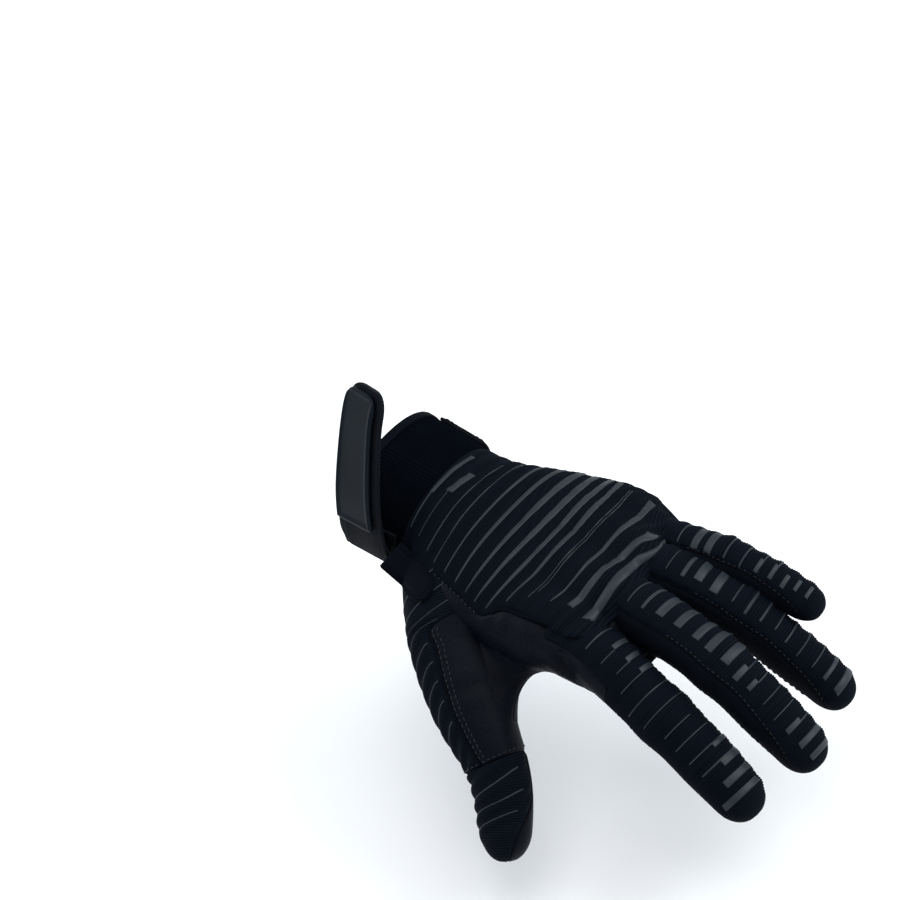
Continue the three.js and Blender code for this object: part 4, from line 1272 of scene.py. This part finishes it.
class Fingers:
    """All four fingers.

    Each row of prints is a straight line: its width, its place along, its first and last share across.
    """

    prints: dict[str, tuple[tuple[float, ...], ...]] = {
        "index": (
            (0.6, 37.2, 0.2, 0.85), (0.6, 45.4, 0.18, 0.48), (2.3, 44.4, 0.48, 0.85),
            (0.6, 52.4, 0.25, 0.55), (2.3, 51.2, 0.5, 0.82), (0.6, 58.8, 0.32, 0.68),
            (2.3, 57.8, 0.66, 0.88), (0.6, 66.6, 0.18, 0.97), (0.6, 74.5, 0.22, 0.96),
            (0.6, 83.0, 0.3, 0.7), (0.7, 89.4, 0.27, 0.82), (0.7, 96.6, 0.28, 0.68),
            (2.4, 97.4, 0.62, 0.93), (0.7, 103.4, 0.28, 0.6), (3.4, 104.6, 0.55, 0.96),
            (3.2, 111.6, 0.4, 0.85), (2.9, 118.0, 0.18, 0.8),
        ),
        "middle": (
            (0.7, 40.0, 0.18, 0.9), (1.4, 46.8, 0.2, 0.9), (3.8, 54.0, 0.24, 0.92),
            (3.8, 62.2, 0.25, 0.92), (3.5, 70.6, 0.26, 0.92), (3.6, 77.0, 0.24, 0.92),
            (3.6, 83.8, 0.26, 0.88), (2.5, 90.0, 0.16, 0.5), (0.6, 91.0, 0.48, 0.8),
            (2.2, 96.0, 0.2, 0.44), (0.6, 97.0, 0.42, 0.85), (0.6, 104.0, 0.22, 0.85),
            (0.6, 111.6, 0.2, 0.78), (2.4, 118.4, 0.25, 0.56), (0.6, 119.2, 0.54, 0.85),
            (2.8, 125.8, 0.3, 0.8), (2.6, 132.4, 0.36, 0.8),
        ),
        "ring": (
            (0.6, 45.0, 0.2, 0.8), (1.8, 51.6, 0.2, 0.85), (3.8, 57.6, 0.26, 0.88),
            (3.8, 65.0, 0.2, 0.88), (0.7, 73.0, 0.24, 0.86), (1.1, 79.2, 0.18, 0.86),
            (1.1, 85.2, 0.22, 0.9), (0.7, 91.3, 0.26, 0.88), (0.7, 97.2, 0.2, 0.88),
            (0.7, 104.0, 0.17, 0.8), (0.7, 111.4, 0.22, 0.8), (1.8, 118.0, 0.24, 0.8),
            (3.4, 125.2, 0.28, 0.78),
        ),
        "little": (
            (0.7, 42.0, 0.1, 0.8), (3.2, 49.6, 0.04, 0.8), (3.2, 55.4, 0.04, 0.8),
            (0.7, 62.6, 0.1, 0.8), (0.7, 69.2, 0.04, 0.8), (1.8, 75.6, 0.12, 0.5),
            (0.6, 76.2, 0.48, 0.85), (1.9, 81.6, 0.17, 0.55), (0.6, 82.2, 0.5, 0.85),
            (1.9, 87.0, 0.17, 0.5), (1.8, 91.8, 0.3, 0.6), (1.8, 97.0, 0.35, 0.62),
        ),
    }

    def __init__(self, form: GloveForm) -> None:
        """Keeps the form and makes the four sets of skins."""
        self.form = form
        self.skins = []
        for sizes in FINGERS:
            rows = self.prints[sizes.name]
            bars = tuple(Bar(width, ((along, first), (along, last))) for width, along, first, last in rows)
            self.skins.append(FingerSkins(form, sizes, bars))

    def build(self) -> None:
        """Makes backs, print, fronts, walls and the seams' cords and threads."""
        index, middle, ring, little = self.skins
        backs = [skin.back() for skin in self.skins]
        for skin, patch in zip(self.skins, backs):
            sheet = patch.sheet(rows=500, columns=34, pole=True)
            make_panel(f"{skin.sizes.name}_back", Finishes.RIBBED, "back_panel", sheet)
        fronts = [skin.front() for skin in self.skins]
        sheets = [patch.sheet(rows=170, columns=30, pole=True) for patch in fronts]
        make_panel("finger_fronts", Finishes.LEATHER, "palm_panel", *sheets)
        leather_end = index.along(0.245)
        walls = (
            ("index_side_wall", "index_side_panel", index.near_wall(start=leather_end)),
            ("index_middle_walls", "fourchette_index_middle", index.far_wall(), middle.near_wall()),
            ("middle_ring_walls", "fourchette_middle_ring", middle.far_wall(), ring.near_wall()),
            ("ring_little_walls", "fourchette_ring_little", ring.far_wall(), little.near_wall()),
            ("little_outer_wall", "outer_side_panel", little.far_wall()),
        )
        for name, node, *patches in walls:
            sheets = [patch.sheet(rows=120, columns=14, pole=True) for patch in patches]
            make_panel(name, Finishes.SIDE, node, *sheets)
        root = index.near_wall(end=leather_end)
        make_panel("index_root_leather", Finishes.LEATHER, "thumb_gusset", root.sheet(rows=40, columns=16))
        bars, threads, cords = [], [], []
        for skin, patch in zip(self.skins, backs):
            bars += print_bars(patch, skin.bars, 0.3)
            for v in (0.0, 1.0):
                start = 0.25 if skin is index and v == 0.0 else 0.1
                cords.append(patch.cord(v, skin.along(start), skin.along(0.93), 130, 0.15, 0.42))
            for v in (0.035, 0.965):
                threads += patch.sewn(v, skin.along(0.26), skin.along(0.9), 130, 0.02, (2.4, 1.7, 0.17))
        for patch, skin in zip(fronts, self.skins):
            for v in (0.06, 0.94):
                threads += patch.sewn(v, skin.along(0.3), skin.along(0.85), 90, 0.02, (2.8, 2.0, 0.18))
        make_piece("finger_print", bars, Finishes.PRINT)
        make_piece("finger_seam_cords", cords, Finishes.SIDE)
        make_piece("finger_threads", threads, Finishes.THREAD)


@dataclass
class PalmAndSides:
    """The leather palm, the smooth outer strip and the leather on the hand's thumb side."""

    form: GloveForm
    last: float = 1.155
    palm_width: float = 95.0
    strip_width: float = 14.0

    def palm_relief(self, along: Array, v: Array) -> Array:
        """Long soft folds that run from the thumb's root, and tucked seams."""
        tuck = -0.5 * bell(to_seam(v, self.palm_width), 1.0)
        fold = 0.0
        for at, slope, depth in ((0.32, 0.0022, 0.9), (0.46, 0.0014, 0.7), (0.6, -0.0008, 0.5)):
            off = (v - at - slope * (along - 80.0)) * self.palm_width
            fold = fold - depth * bell(off, 1.7) + 0.45 * depth * bell(off, 5.0)
        fade = smoothstep(along, 40.0, 70.0) * (1 - smoothstep(along, 112.0, 128.0))
        return tuck + fold * fade + 0.25 * np.sin(along / 6.5 + 4.0 * v)

    def strip_relief(self, along: Array, v: Array) -> Array:
        """Tucked seams and shallow cross folds."""
        return -0.5 * bell(to_seam(v, self.strip_width), 1.0) + 0.2 * np.sin(along / 3.3)

    def web_relief(self, along: Array, v: Array) -> Array:
        """Soft wrinkles in the leather web."""
        return 0.22 * np.sin(along * 14.0 + 9.0 * np.sin(FULL_TURN * v)) * np.sin(6 * np.pi * v)

    def build(self) -> None:
        """Makes the four skins and their seams."""
        hand, scale = self.form.hand, SIZE.cuff_to_knuckles
        back_outer, back_thumb = hand.seam(BACK_SEAM, "outer"), hand.seam(BACK_SEAM, "thumb")
        palm_outer, palm_thumb = hand.seam(PALM_SEAM, "outer"), hand.seam(PALM_SEAM, "thumb")

        def skin(left: Edge, right: Edge, relief: Relief) -> Patch:
            start, end = SIZE.cuff_length + SEAM_GAP, self.last * scale
            return Patch(self.form, hand, start, end, left, right, scale, relief)
        palm = skin(lambda u: palm_thumb(u) - FULL_TURN, palm_outer, self.palm_relief)
        make_panel("palm_leather", Finishes.LEATHER, "palm_panel", palm.sheet(rows=150, columns=110))
        strip = skin(palm_outer, back_outer, self.strip_relief)
        make_panel("outer_strip", Finishes.SIDE, "outer_side_panel", strip.sheet(rows=150, columns=20))
        thumb_side = skin(back_thumb, palm_thumb, self.strip_relief)
        web = Patch(self.form, self.form.web, 0.0, 1.0, lambda u: 0 * u, lambda u: 0 * u + FULL_TURN, 1.0,
                    self.web_relief)
        sheets = [thumb_side.sheet(rows=110, columns=26), web.sheet(rows=60, columns=90)]
        make_panel("gusset_leather", Finishes.LEATHER, "thumb_gusset", *sheets)
        make_piece("gusset_cord", [thumb_side.cord(0.0, 88.0, 143.0, 90, 0.5, 0.7)], Finishes.SIDE)
        threads: list[Sheet] = []
        for patch, v in ((palm, 0.985), (strip, 0.1), (palm, 0.97)):
            threads += patch.sewn(v, 40.0, 120.0, 90, 0.05, (2.8, 2.0, 0.2))
        make_piece("palm_threads", threads, Finishes.THREAD)


@dataclass
class Thumb:
    """The thumb: ribbed cloth outside and at the tip, leather inside."""

    form: GloveForm
    rib_pitch: float = 7.6
    rib_height: float = 0.95
    slant: float = -0.75
    thread: Triple = (2.4, 1.8, 0.2)
    tip_far_height: float = -0.1
    tip_near_height: float = -0.9
    tip_near_rise: float = 0.7

    def __post_init__(self) -> None:
        """Keeps the shape and the millimetres of its line."""
        self.shape = self.form.thumb
        self.scale = self.shape.line.length

    def rib(self, along: Array, v: Array) -> Array:
        """Slanted soft ribs by a squared sine of the way along less a share of the way across."""
        across = v * 1.3 * SIZE.thumb_breadth
        share = along / self.scale
        rise = smoothstep(share, 0.2, 0.32) * (1 - smoothstep(share, 0.88, 0.97))
        return self.rib_height * np.sin(np.pi * (along - self.slant * across) / self.rib_pitch) ** 2 * rise

    def tucks(self, along: Array, v: Array, depth: float) -> Array:
        """A groove beside each seam, and one at the seam of the last joint."""
        beside = bell(to_seam(v, 1.4) * SIZE.thumb_breadth, 0.9)
        return -depth * beside - 0.6 * bell(along - TIP_SEAM_AT * self.scale, 0.9)

    def back_relief(self, along: Array, v: Array) -> Array:
        """Ribs that fade to the seams, and the grooves."""
        edge = to_seam(v, 1.4) * SIZE.thumb_breadth
        return self.rib(along, v) * smoothstep(edge, 0.0, 4.0) + self.tucks(along, v, 0.6)

    def inner_relief(self, along: Array, v: Array) -> Array:
        """Folds at the joint of the leather, and the grooves."""
        folds = 0.25 * np.sin(along / 1.9) * bell(along / self.scale - 0.5, 0.06)
        return folds + self.tucks(along, v, 0.5)

    def edge(self, column: str) -> Edge:
        """The turn of the seam on the palm side (far) or of the one on the index finger's side (near)."""
        return lambda u: self.shape.turn_at(u, THUMB_SEAM.read(column, u), column == "near")

    def build(self) -> None:
        """Makes the four skins, the double seam and the print."""
        far, near = self.edge("far"), self.edge("near")
        split, start, end = TIP_SEAM_AT * self.scale, 0.07 * self.scale, self.scale * NEAR_POLE

        def tip_far(u: Array) -> Array:
            return self.shape.turn_at(u, 0 * u + self.tip_far_height, False)

        def tip_near(u: Array) -> Array:
            rise = self.tip_near_rise * smoothstep(u, 0.8, 0.98)
            return self.shape.turn_at(u, self.tip_near_height + rise, True)

        def skin(first: float, last: float, left: Edge, right: Edge, relief: Relief) -> Patch:
            return Patch(self.form, self.shape, first, last, left, right, self.scale, relief)
        back = skin(start, split, far, near, self.back_relief)
        inner = skin(start, split, near, lambda u: far(u) + FULL_TURN, self.inner_relief)
        tip = skin(split, end, tip_far, tip_near, self.back_relief)
        pad = skin(split, end, tip_near, lambda u: tip_far(u) + FULL_TURN, self.inner_relief)
        make_panel("thumb_back_cloth", Finishes.RIBBED, "thumb_back", back.sheet(rows=190, columns=60))
        inner_sheet = inner.sheet(rows=120, columns=60)
        make_panel("thumb_inner_leather", Finishes.LEATHER, "thumb_gusset", inner_sheet)
        tip_sheet = tip.sheet(rows=90, columns=80, pole=True)
        make_panel("thumb_tip_cloth", Finishes.RIBBED, "thumb_tip", tip_sheet)
        pad_sheet = pad.sheet(rows=70, columns=30, pole=True)
        make_panel("thumb_pad_leather", Finishes.LEATHER, "thumb_pad", pad_sheet)
        threads: list[Sheet] = []
        for v in (0.025, 0.065):
            threads += inner.sewn(v, 0.3 * self.scale, split - 2.0, 90, 0.08, self.thread)
        cord = inner.cord(0.0, 0.22 * self.scale, split, 90, 0.1, 0.5)
        make_piece("thumb_seam_cord", [cord], Finishes.SIDE)
        v = np.linspace(0.0, 1.0, 90)
        across = np.full(90, split - 1.6)
        for patch in (inner, back):
            places = patch.place(across, v, 0.08)
            threads += stitches(places, unit(patch.place(across, v, 1.08) - places), *self.thread)
        make_piece("thumb_threads", threads, Finishes.THREAD)
        slope = self.slant * 1.3 * SIZE.thumb_breadth
        bars = tuple(
            Bar(0.6, ((at + 0.25 * slope, 0.25), (at + 0.95 * slope, 0.95)))
            for at in np.arange(0.18 * self.scale, split + 22.0, self.rib_pitch)
            if start < at + 0.95 * slope and at + 0.25 * slope < split - 2.0
        )
        tips = tuple(
            Bar(0.6, ((at - 2.0, 0.25), (at - 15.0, 0.85)))
            for at in np.arange(split + 4.0, 0.98 * self.scale + 16.0, self.rib_pitch)
            if split + 2.0 < at - 15.0 and at - 2.0 < 0.97 * self.scale
        )
        sheets = print_bars(back, bars, 0.25) + print_bars(tip, tips, 0.25)
        make_piece("thumb_print", sheets, Finishes.PRINT)


@dataclass
class Cuff:
    """The rib-knit cuff, its folded edge and the elastic band round the palm side."""

    form: GloveForm
    ribs: int = 140
    binding_width: float = 4.0
    band_start: float = 4.6
    band_width: float = 25.0
    band_thickness: float = 2.2
    band_turns: tuple[float, float] = (16.5, -204.0)
    bump_pitch: float = 2.4

    def emboss(self, along: Array, at: Array) -> Array:
        """Two ridges near each edge of the band, and crossed rows of bumps between them."""
        far = self.band_width - along
        ridges = 0.0 * along
        for place, way in ((3.0, along), (5.6, along), (5.6, far), (3.0, far)):
            ridges = ridges + 0.45 * bell(way - place, 0.6)
        inside = smoothstep(along, 6.8, 7.8) * smoothstep(far, 6.8, 7.8)
        turn = FULL_TURN / self.bump_pitch
        return ridges + 0.3 * inside * np.sin(turn * along) * np.sin(turn * WRIST_RADIUS * at)

    def ring(self, x: Array, turn: Array, out: Array) -> Array:
        """Places round the wrist: the hand's skin at x, moved out."""
        u = np.maximum(x, 0.2) / SIZE.cuff_to_knuckles
        ground = self.form.hand.surface(u, turn)
        ground[..., 0] += x - np.maximum(x, 0.2)
        return ground + self.form.hand.normals(u, turn) * out[..., None]

    def sweep(self, start: float, width: float, low: float, high: float, turns: Array, rows: int,
              emboss: Relief) -> Sheet:
        """A flat band with round edges carried round the wrist.

        Its section is a rounded oblong: signed powers of cosine on the half width and of sine on the
        half thickness; its outer face is raised by emboss.

        Args:
            start: where it starts along the wrist.
            width: its width.
            low: its inner face's distance from the skin.
            high: its outer face's.
            turns: the turns that it passes, in order.
            rows: how many points its section has.
            emboss: the height of its face from millimetres along and the turn.

        Returns:
            The band's grid.
        """
        wide, deep = oblong(rows, 0.35, 0.45)
        x = start + 0.5 * width * (1 + wide[None, :]) + 0 * turns[:, None]
        out = 0.5 * (low + high) + 0.5 * (high - low) * deep[None, :]
        turn = np.broadcast_to(turns[:, None], x.shape)
        out = out + emboss(x - start, turn) * np.clip(deep, 0.0, 1.0)[None, :]
        uv = np.stack([x, turn * WRIST_RADIUS], axis=-1)
        return Sheet(self.ring(x, turn, out), uv, round_closed=True)

    def build(self) -> None:
        """Makes the cuff, the tape and the band."""
        turn = np.linspace(0.0, FULL_TURN, 4 * self.ribs, endpoint=False)[None, :]
        x = np.linspace(self.binding_width - 0.6, SIZE.cuff_length + 0.4, 40)[:, None]
        x, turn = np.broadcast_arrays(x, turn)
        gather = -0.4 * bell(x - SIZE.cuff_length, 1.5)
        points = self.ring(x, turn, 0.42 * np.cos(self.ribs * turn) - 0.1 + gather)
        uv = np.stack([x, turn * WRIST_RADIUS], axis=-1)
        knit = Sheet(points[:, ::-1], uv[:, ::-1], round_closed=True)
        make_panel("rib_knit_cuff", Finishes.KNIT, "rib_cuff", knit)
        turns = np.linspace(0.0, FULL_TURN, 160)
        tape = self.sweep(0.0, self.binding_width, -1.5, 0.75, turns, 20, lambda a, t: 0 * a)
        tape.points[-1] = tape.points[0]
        make_piece("cuff_tape", [tape], Finishes.TAPE, ("cuff_binding",))
        turns = np.radians(np.linspace(*self.band_turns, 260))
        band = self.sweep(self.band_start, self.band_width, 0.3, self.band_thickness, turns, 96, self.emboss)
        make_piece("elastic_cuff_band", [capped(band)], Finishes.ELASTIC, ("cuff_band",))


def capped(sheet: Sheet) -> Sheet:
    """A swept band whose two ends close to their middles."""
    first = np.broadcast_to(sheet.points[0].mean(axis=0), sheet.points[0].shape)
    last = np.broadcast_to(sheet.points[-1].mean(axis=0), sheet.points[-1].shape)
    points = np.concatenate([first[None], sheet.points, last[None]])
    uv = np.concatenate([sheet.uv[:1], sheet.uv, sheet.uv[-1:]])
    return Sheet(points, uv, round_closed=True, pole_first=True, pole_last=True)


@dataclass
class Strap:
    """The open closing strap, its bare moulded plate and the landing pad on the wrist."""

    form: GloveForm
    length: float = 84.0
    width: float = 24.0
    thickness: float = 2.4
    at: float = 18.5
    seat: float = 4.0
    tab_length: float = 58.0
    tab_width: float = 20.0
    tab_thickness: float = 1.6
    tab_shift: float = -1.3
    tab_clearance: float = 0.5
    weave_pitch: float = 2.2
    tab_from_end: float = 2.0
    pad_length: float = 22.0
    pad_width: float = 13.0
    pad_wall: float = 1.6
    pad_thickness: float = 2.6
    pad_stand: float = 1.2
    pad_rim: float = 1.4
    search: tuple[float, float] = (40.0, -25.0)
    halvings: int = 24
    pad_start: Triple = (27.5, -30.5, 2.0)
    pad_along: Triple = (0.86, 0.0, -0.5)
    pad_facing: Triple = (0.5, -0.55, 0.67)
    line_table: Table = Table(
        ("row", "along", "out", "up"),
        (
            (0.0, 0.0, -1.0, 0.0), (1.0, 0.0, -1.02, 0.07), (2.0, -0.02, -1.0, 0.16),
            (3.0, -0.08, -0.88, 0.33), (4.0, -0.16, -0.64, 0.52), (5.0, -0.25, -0.33, 0.71),
            (6.0, -0.3, -0.06, 0.83),
        ),
    )

    def weave(self, along: Array, across: Array) -> Array:
        """Crossed rows of bumps inside a groove along each edge."""
        edge = 0.5 * self.width - np.abs(across)
        turn = FULL_TURN / self.weave_pitch
        bumps = 0.16 * np.sin(turn * along) * np.sin(turn * across)
        return bumps * smoothstep(edge, 2.0, 3.5) - 0.25 * bell(edge - 1.9, 0.4)

    def line(self) -> Line:
        """The strap's middle line from its sewn root to its free end."""
        table = self.line_table
        x = self.at + table.column("along") * self.width
        y = table.column("out") * SIZE.wrist_breadth / 2 - self.seat
        return Line(np.stack([x, y, table.column("up") * self.length], axis=-1), (0.0, 0.0, 1.0))

    def ribbon(self, line: Line, start: float, end: float, width: float, low: float, high: float,
               shift: float, rows: int, sides: int, emboss: Relief) -> Sheet:
        """A flat band along the strap's line with a round end.

        Its section is a rounded oblong: signed powers of cosine across and of sine off the face, and
        its half width follows a dome near the free end.

        Args:
            line: the middle line.
            start: the share where it starts.
            end: the share where it ends.
            width: its width.
            low: its inner face's distance from the line.
            high: its outer face's.
            shift: how far it lies to one side.
            rows: how many sections.
            sides: how many points a section has.
            emboss: the height of the outer face from millimetres along and across.

        Returns:
            The band's grid, closed at both ends.
        """
        share = start + (end - start) * np.sin(0.5 * np.pi * np.linspace(0.0, 1.0, rows)) ** 0.9
        middle, on, _, _ = line.frames(share)
        root, tip = np.array([1.0, 0.0, 0.0]), unit(np.array([0.94, -0.3, 0.15]))
        wanted = root + (tip - root) * share[:, None]
        normal = unit(np.cross(on, wanted))
        across = unit(np.cross(normal, on))
        full = 0.4 + 0.6 * fullness((end - share) * line.length, 0.42 * width)
        wide, deep = oblong(sides, 0.3, 0.5)
        sideways = shift + 0.5 * width * full[:, None] * wide[None, :]
        off = 0.5 * (low + high) + 0.5 * (high - low) * deep[None, :] + 0 * sideways
        along = (share * line.length)[:, None] + 0 * sideways
        face = np.clip(-deep, 0.0, 1.0)[None, :]
        off = off - emboss(along, sideways - shift) * face
        points = middle[:, None] + across[:, None] * sideways[..., None] + normal[:, None] * off[..., None]
        sheet = capped(Sheet(points, np.stack([along, sideways], axis=-1), round_closed=True))
        half = rows // 2
        outward = sheet.points[half, 0] - sheet.points[half].mean(axis=0)
        return Sheet(*turned_out(sheet.points, sheet.uv, half, 0, outward), True, True, True)

    def pad_sheet(self, rows: int = 60, columns: int = 40) -> Sheet:
        """The landing pad: a tongue's rounded outline laid on the wrist.

        The outline lies in the plane square to pad_facing; each place of it is pushed in along that
        way until it meets the union of hand and thumb, found by halving, then stands off by the
        pad's thickness, which falls to nothing at the edge and is grooved beside it.
        """
        half = 0.5 * self.pad_width
        t = np.sin(0.5 * np.pi * np.linspace(-1.0, 1.0, columns))[None, :]
        reach = np.linspace(0.0, 1.0, rows)[:, None] ** 0.8 * self.pad_length
        past = np.clip((reach - (self.pad_length - half)) / half, 0.0, 1.0)
        wide = half * np.sqrt(np.maximum(1 - past ** 2, 0.0))
        a, b = np.broadcast_arrays(reach, wide * t)
        facing = unit(np.array(self.pad_facing))
        along = unit(np.array(self.pad_along) - facing * (facing @ np.array(self.pad_along)))
        across = np.cross(facing, along)
        plane = np.array(self.pad_start) + a[..., None] * along + b[..., None] * across
        near, far = (np.full(a.shape, start) for start in self.search)
        for _ in range(self.halvings):
            middle = 0.5 * (near + far)
            outside = self.form.union_distance(plane + facing * middle[..., None]) > 0
            near, far = np.where(outside, middle, near), np.where(outside, far, middle)
        near = np.maximum(near, np.median(near) - 5.0)
        edge = np.minimum(np.minimum(wide - np.abs(b), self.pad_length - a), 3.0)
        round_edge = np.sqrt(np.clip(edge / self.pad_rim, 0.0, 1.0))
        off = self.pad_thickness * round_edge + self.pad_stand - 0.6 * bell(edge - 2.0, 0.5)
        points = plane + facing * (near + off)[..., None]
        return Sheet(*turned_out(points, np.stack([a, b], axis=-1), rows // 3, columns // 2, facing))

    def build(self) -> None:
        """Makes the strap, the plate and the pad."""
        line = self.line()
        half = 0.5 * self.thickness
        strap = self.ribbon(line, 0.0, 1.0, self.width, -half, half, 0.0, 220, 96, self.weave)
        make_piece("closing_strap", [strap], Finishes.ELASTIC, ("strap",))
        end = 1 - self.tab_from_end / line.length
        start = end - self.tab_length / line.length

        def frame_edge(along: Array, across: Array) -> Array:
            tip = np.minimum(end * line.length - along, along - start * line.length)
            edge = np.minimum(0.5 * self.tab_width - np.abs(across), tip)
            return 0.45 * bell(edge - 1.1, 0.5) - 0.25 * smoothstep(edge, 1.8, 3.0)
        low = half + self.tab_clearance
        tab = self.ribbon(line, start, end, self.tab_width, -low - self.tab_thickness, -low, self.tab_shift,
                          180, 120, frame_edge)
        make_piece("strap_plate", [tab], Finishes.RUBBER, ("strap_tab",))
        pad = self.pad_sheet()
        make_piece("landing_pad", [pad], Finishes.SIDE, ("closure_pad",), self.pad_wall)
        outline = np.concatenate([pad.points[:-1, 5], pad.points[:-1, -6][::-1]])
        facing = np.broadcast_to(unit(np.array(self.pad_facing)), outline.shape)
        make_piece("pad_cord", [tube_along(outline, facing, 0.6)], Finishes.TAPE)


def posed(name: str, data: object, axes: tuple[Array, Array, Array], place: Array) -> bpy.types.Object:
    """A new object whose own x, y and z point along axes, at a place in metres."""
    made = bpy.data.objects.new(name, data)
    rows = [[*(axis[k] for axis in axes), place[k]] for k in range(3)]
    made.matrix_world = Matrix([*rows, [0.0, 0.0, 0.0, 1.0]])
    bpy.context.scene.collection.objects.link(made)
    return made


@dataclass
class Studio:
    """Pale floor, soft light and the camera at the photograph's angle."""

    right: Triple = (0.764, 0.6225, -0.1695)
    up: Triple = (-0.406, 0.6681, 0.6236)
    back: Triple = (0.5014, -0.4076, 0.7632)
    middle_right: float = 25.08
    middle_up: float = 9.96
    middle_back: float = 50.0
    distance: float = 3000.0
    view_width: float = 360.0
    floor_z: float = -95.0
    floor_reach: float = 6.0
    sky_strength: float = 0.62
    target: Triple = (0.11, -0.01, 0.0)

    def camera(self) -> None:
        """Places a long-lens camera square to the fitted view."""
        right, up, back = (np.array(v) for v in (self.right, self.up, self.back))
        place = right * self.middle_right + up * self.middle_up + back * (self.middle_back + self.distance)
        data = bpy.data.cameras.new("camera")
        data.sensor_width = 36.0
        data.lens = 36.0 * self.distance / self.view_width
        data.clip_start, data.clip_end = 0.05, 50.0
        bpy.context.scene.camera = posed("camera", data, (right, up, back), place * MM)

    def light(self, name: str, place: Triple, size: float, power: float,
              colour: Triple) -> None:
        """An area light that faces the glove's middle."""
        data = bpy.data.lights.new(name, "AREA")
        data.size, data.energy, data.color = size, power, colour
        z = unit(np.array(place) - np.array(self.target))
        x = unit(np.cross([0.0, 0.0, 1.0], z))
        posed(name, data, (x, np.cross(z, x), z), place)

    def build(self) -> None:
        """Makes the floor, the lights, the sky and the camera."""
        mesh = bpy.data.meshes.new("floor")
        signs = ((-1, -1), (1, -1), (1, 1), (-1, 1))
        corners = [(x * self.floor_reach, y * self.floor_reach, self.floor_z * MM) for x, y in signs]
        mesh.from_pydata(corners, [], [(0, 1, 2, 3)])
        floor = bpy.data.objects.new("floor", mesh)
        bpy.context.scene.collection.objects.link(floor)
        g = Graph("pale_floor")
        g.set(Base_Color=(0.93, 0.935, 0.94, 1.0), Roughness=0.9)
        mesh.materials.append(g.material)
        world = bpy.data.worlds.new("sky")
        bpy.context.scene.world = world
        world.use_nodes = True
        sky = world.node_tree.nodes["Background"]
        sky.inputs[0].default_value = (0.93, 0.965, 1.0, 1.0)
        sky.inputs[1].default_value = self.sky_strength
        self.light("rim_far", (0.9, 0.9, 0.9), 1.0, 20.0, (0.92, 0.96, 1.0))
        self.light("rim_left", (-0.9, -0.5, 0.6), 0.8, 7.0, (0.9, 0.95, 1.0))
        self.light("soft_top", (0.1, 0.1, 1.5), 1.2, 9.0, (1.0, 1.0, 1.0))
        bpy.context.scene.view_settings.view_transform = "Standard"
        self.camera()


def main() -> None:
    """Builds the glove piece by piece."""
    logging.basicConfig(level=logging.INFO, format="%(name)s %(message)s")
    Studio().build()
    form = GloveForm()
    for part in (BackOfHand(form), PalmAndSides(form), Fingers(form), Thumb(form), Cuff(form), Strap(form)):
        part.build()
        log.info("%s done", type(part).__name__)


if __name__ == "__main__":
    main()
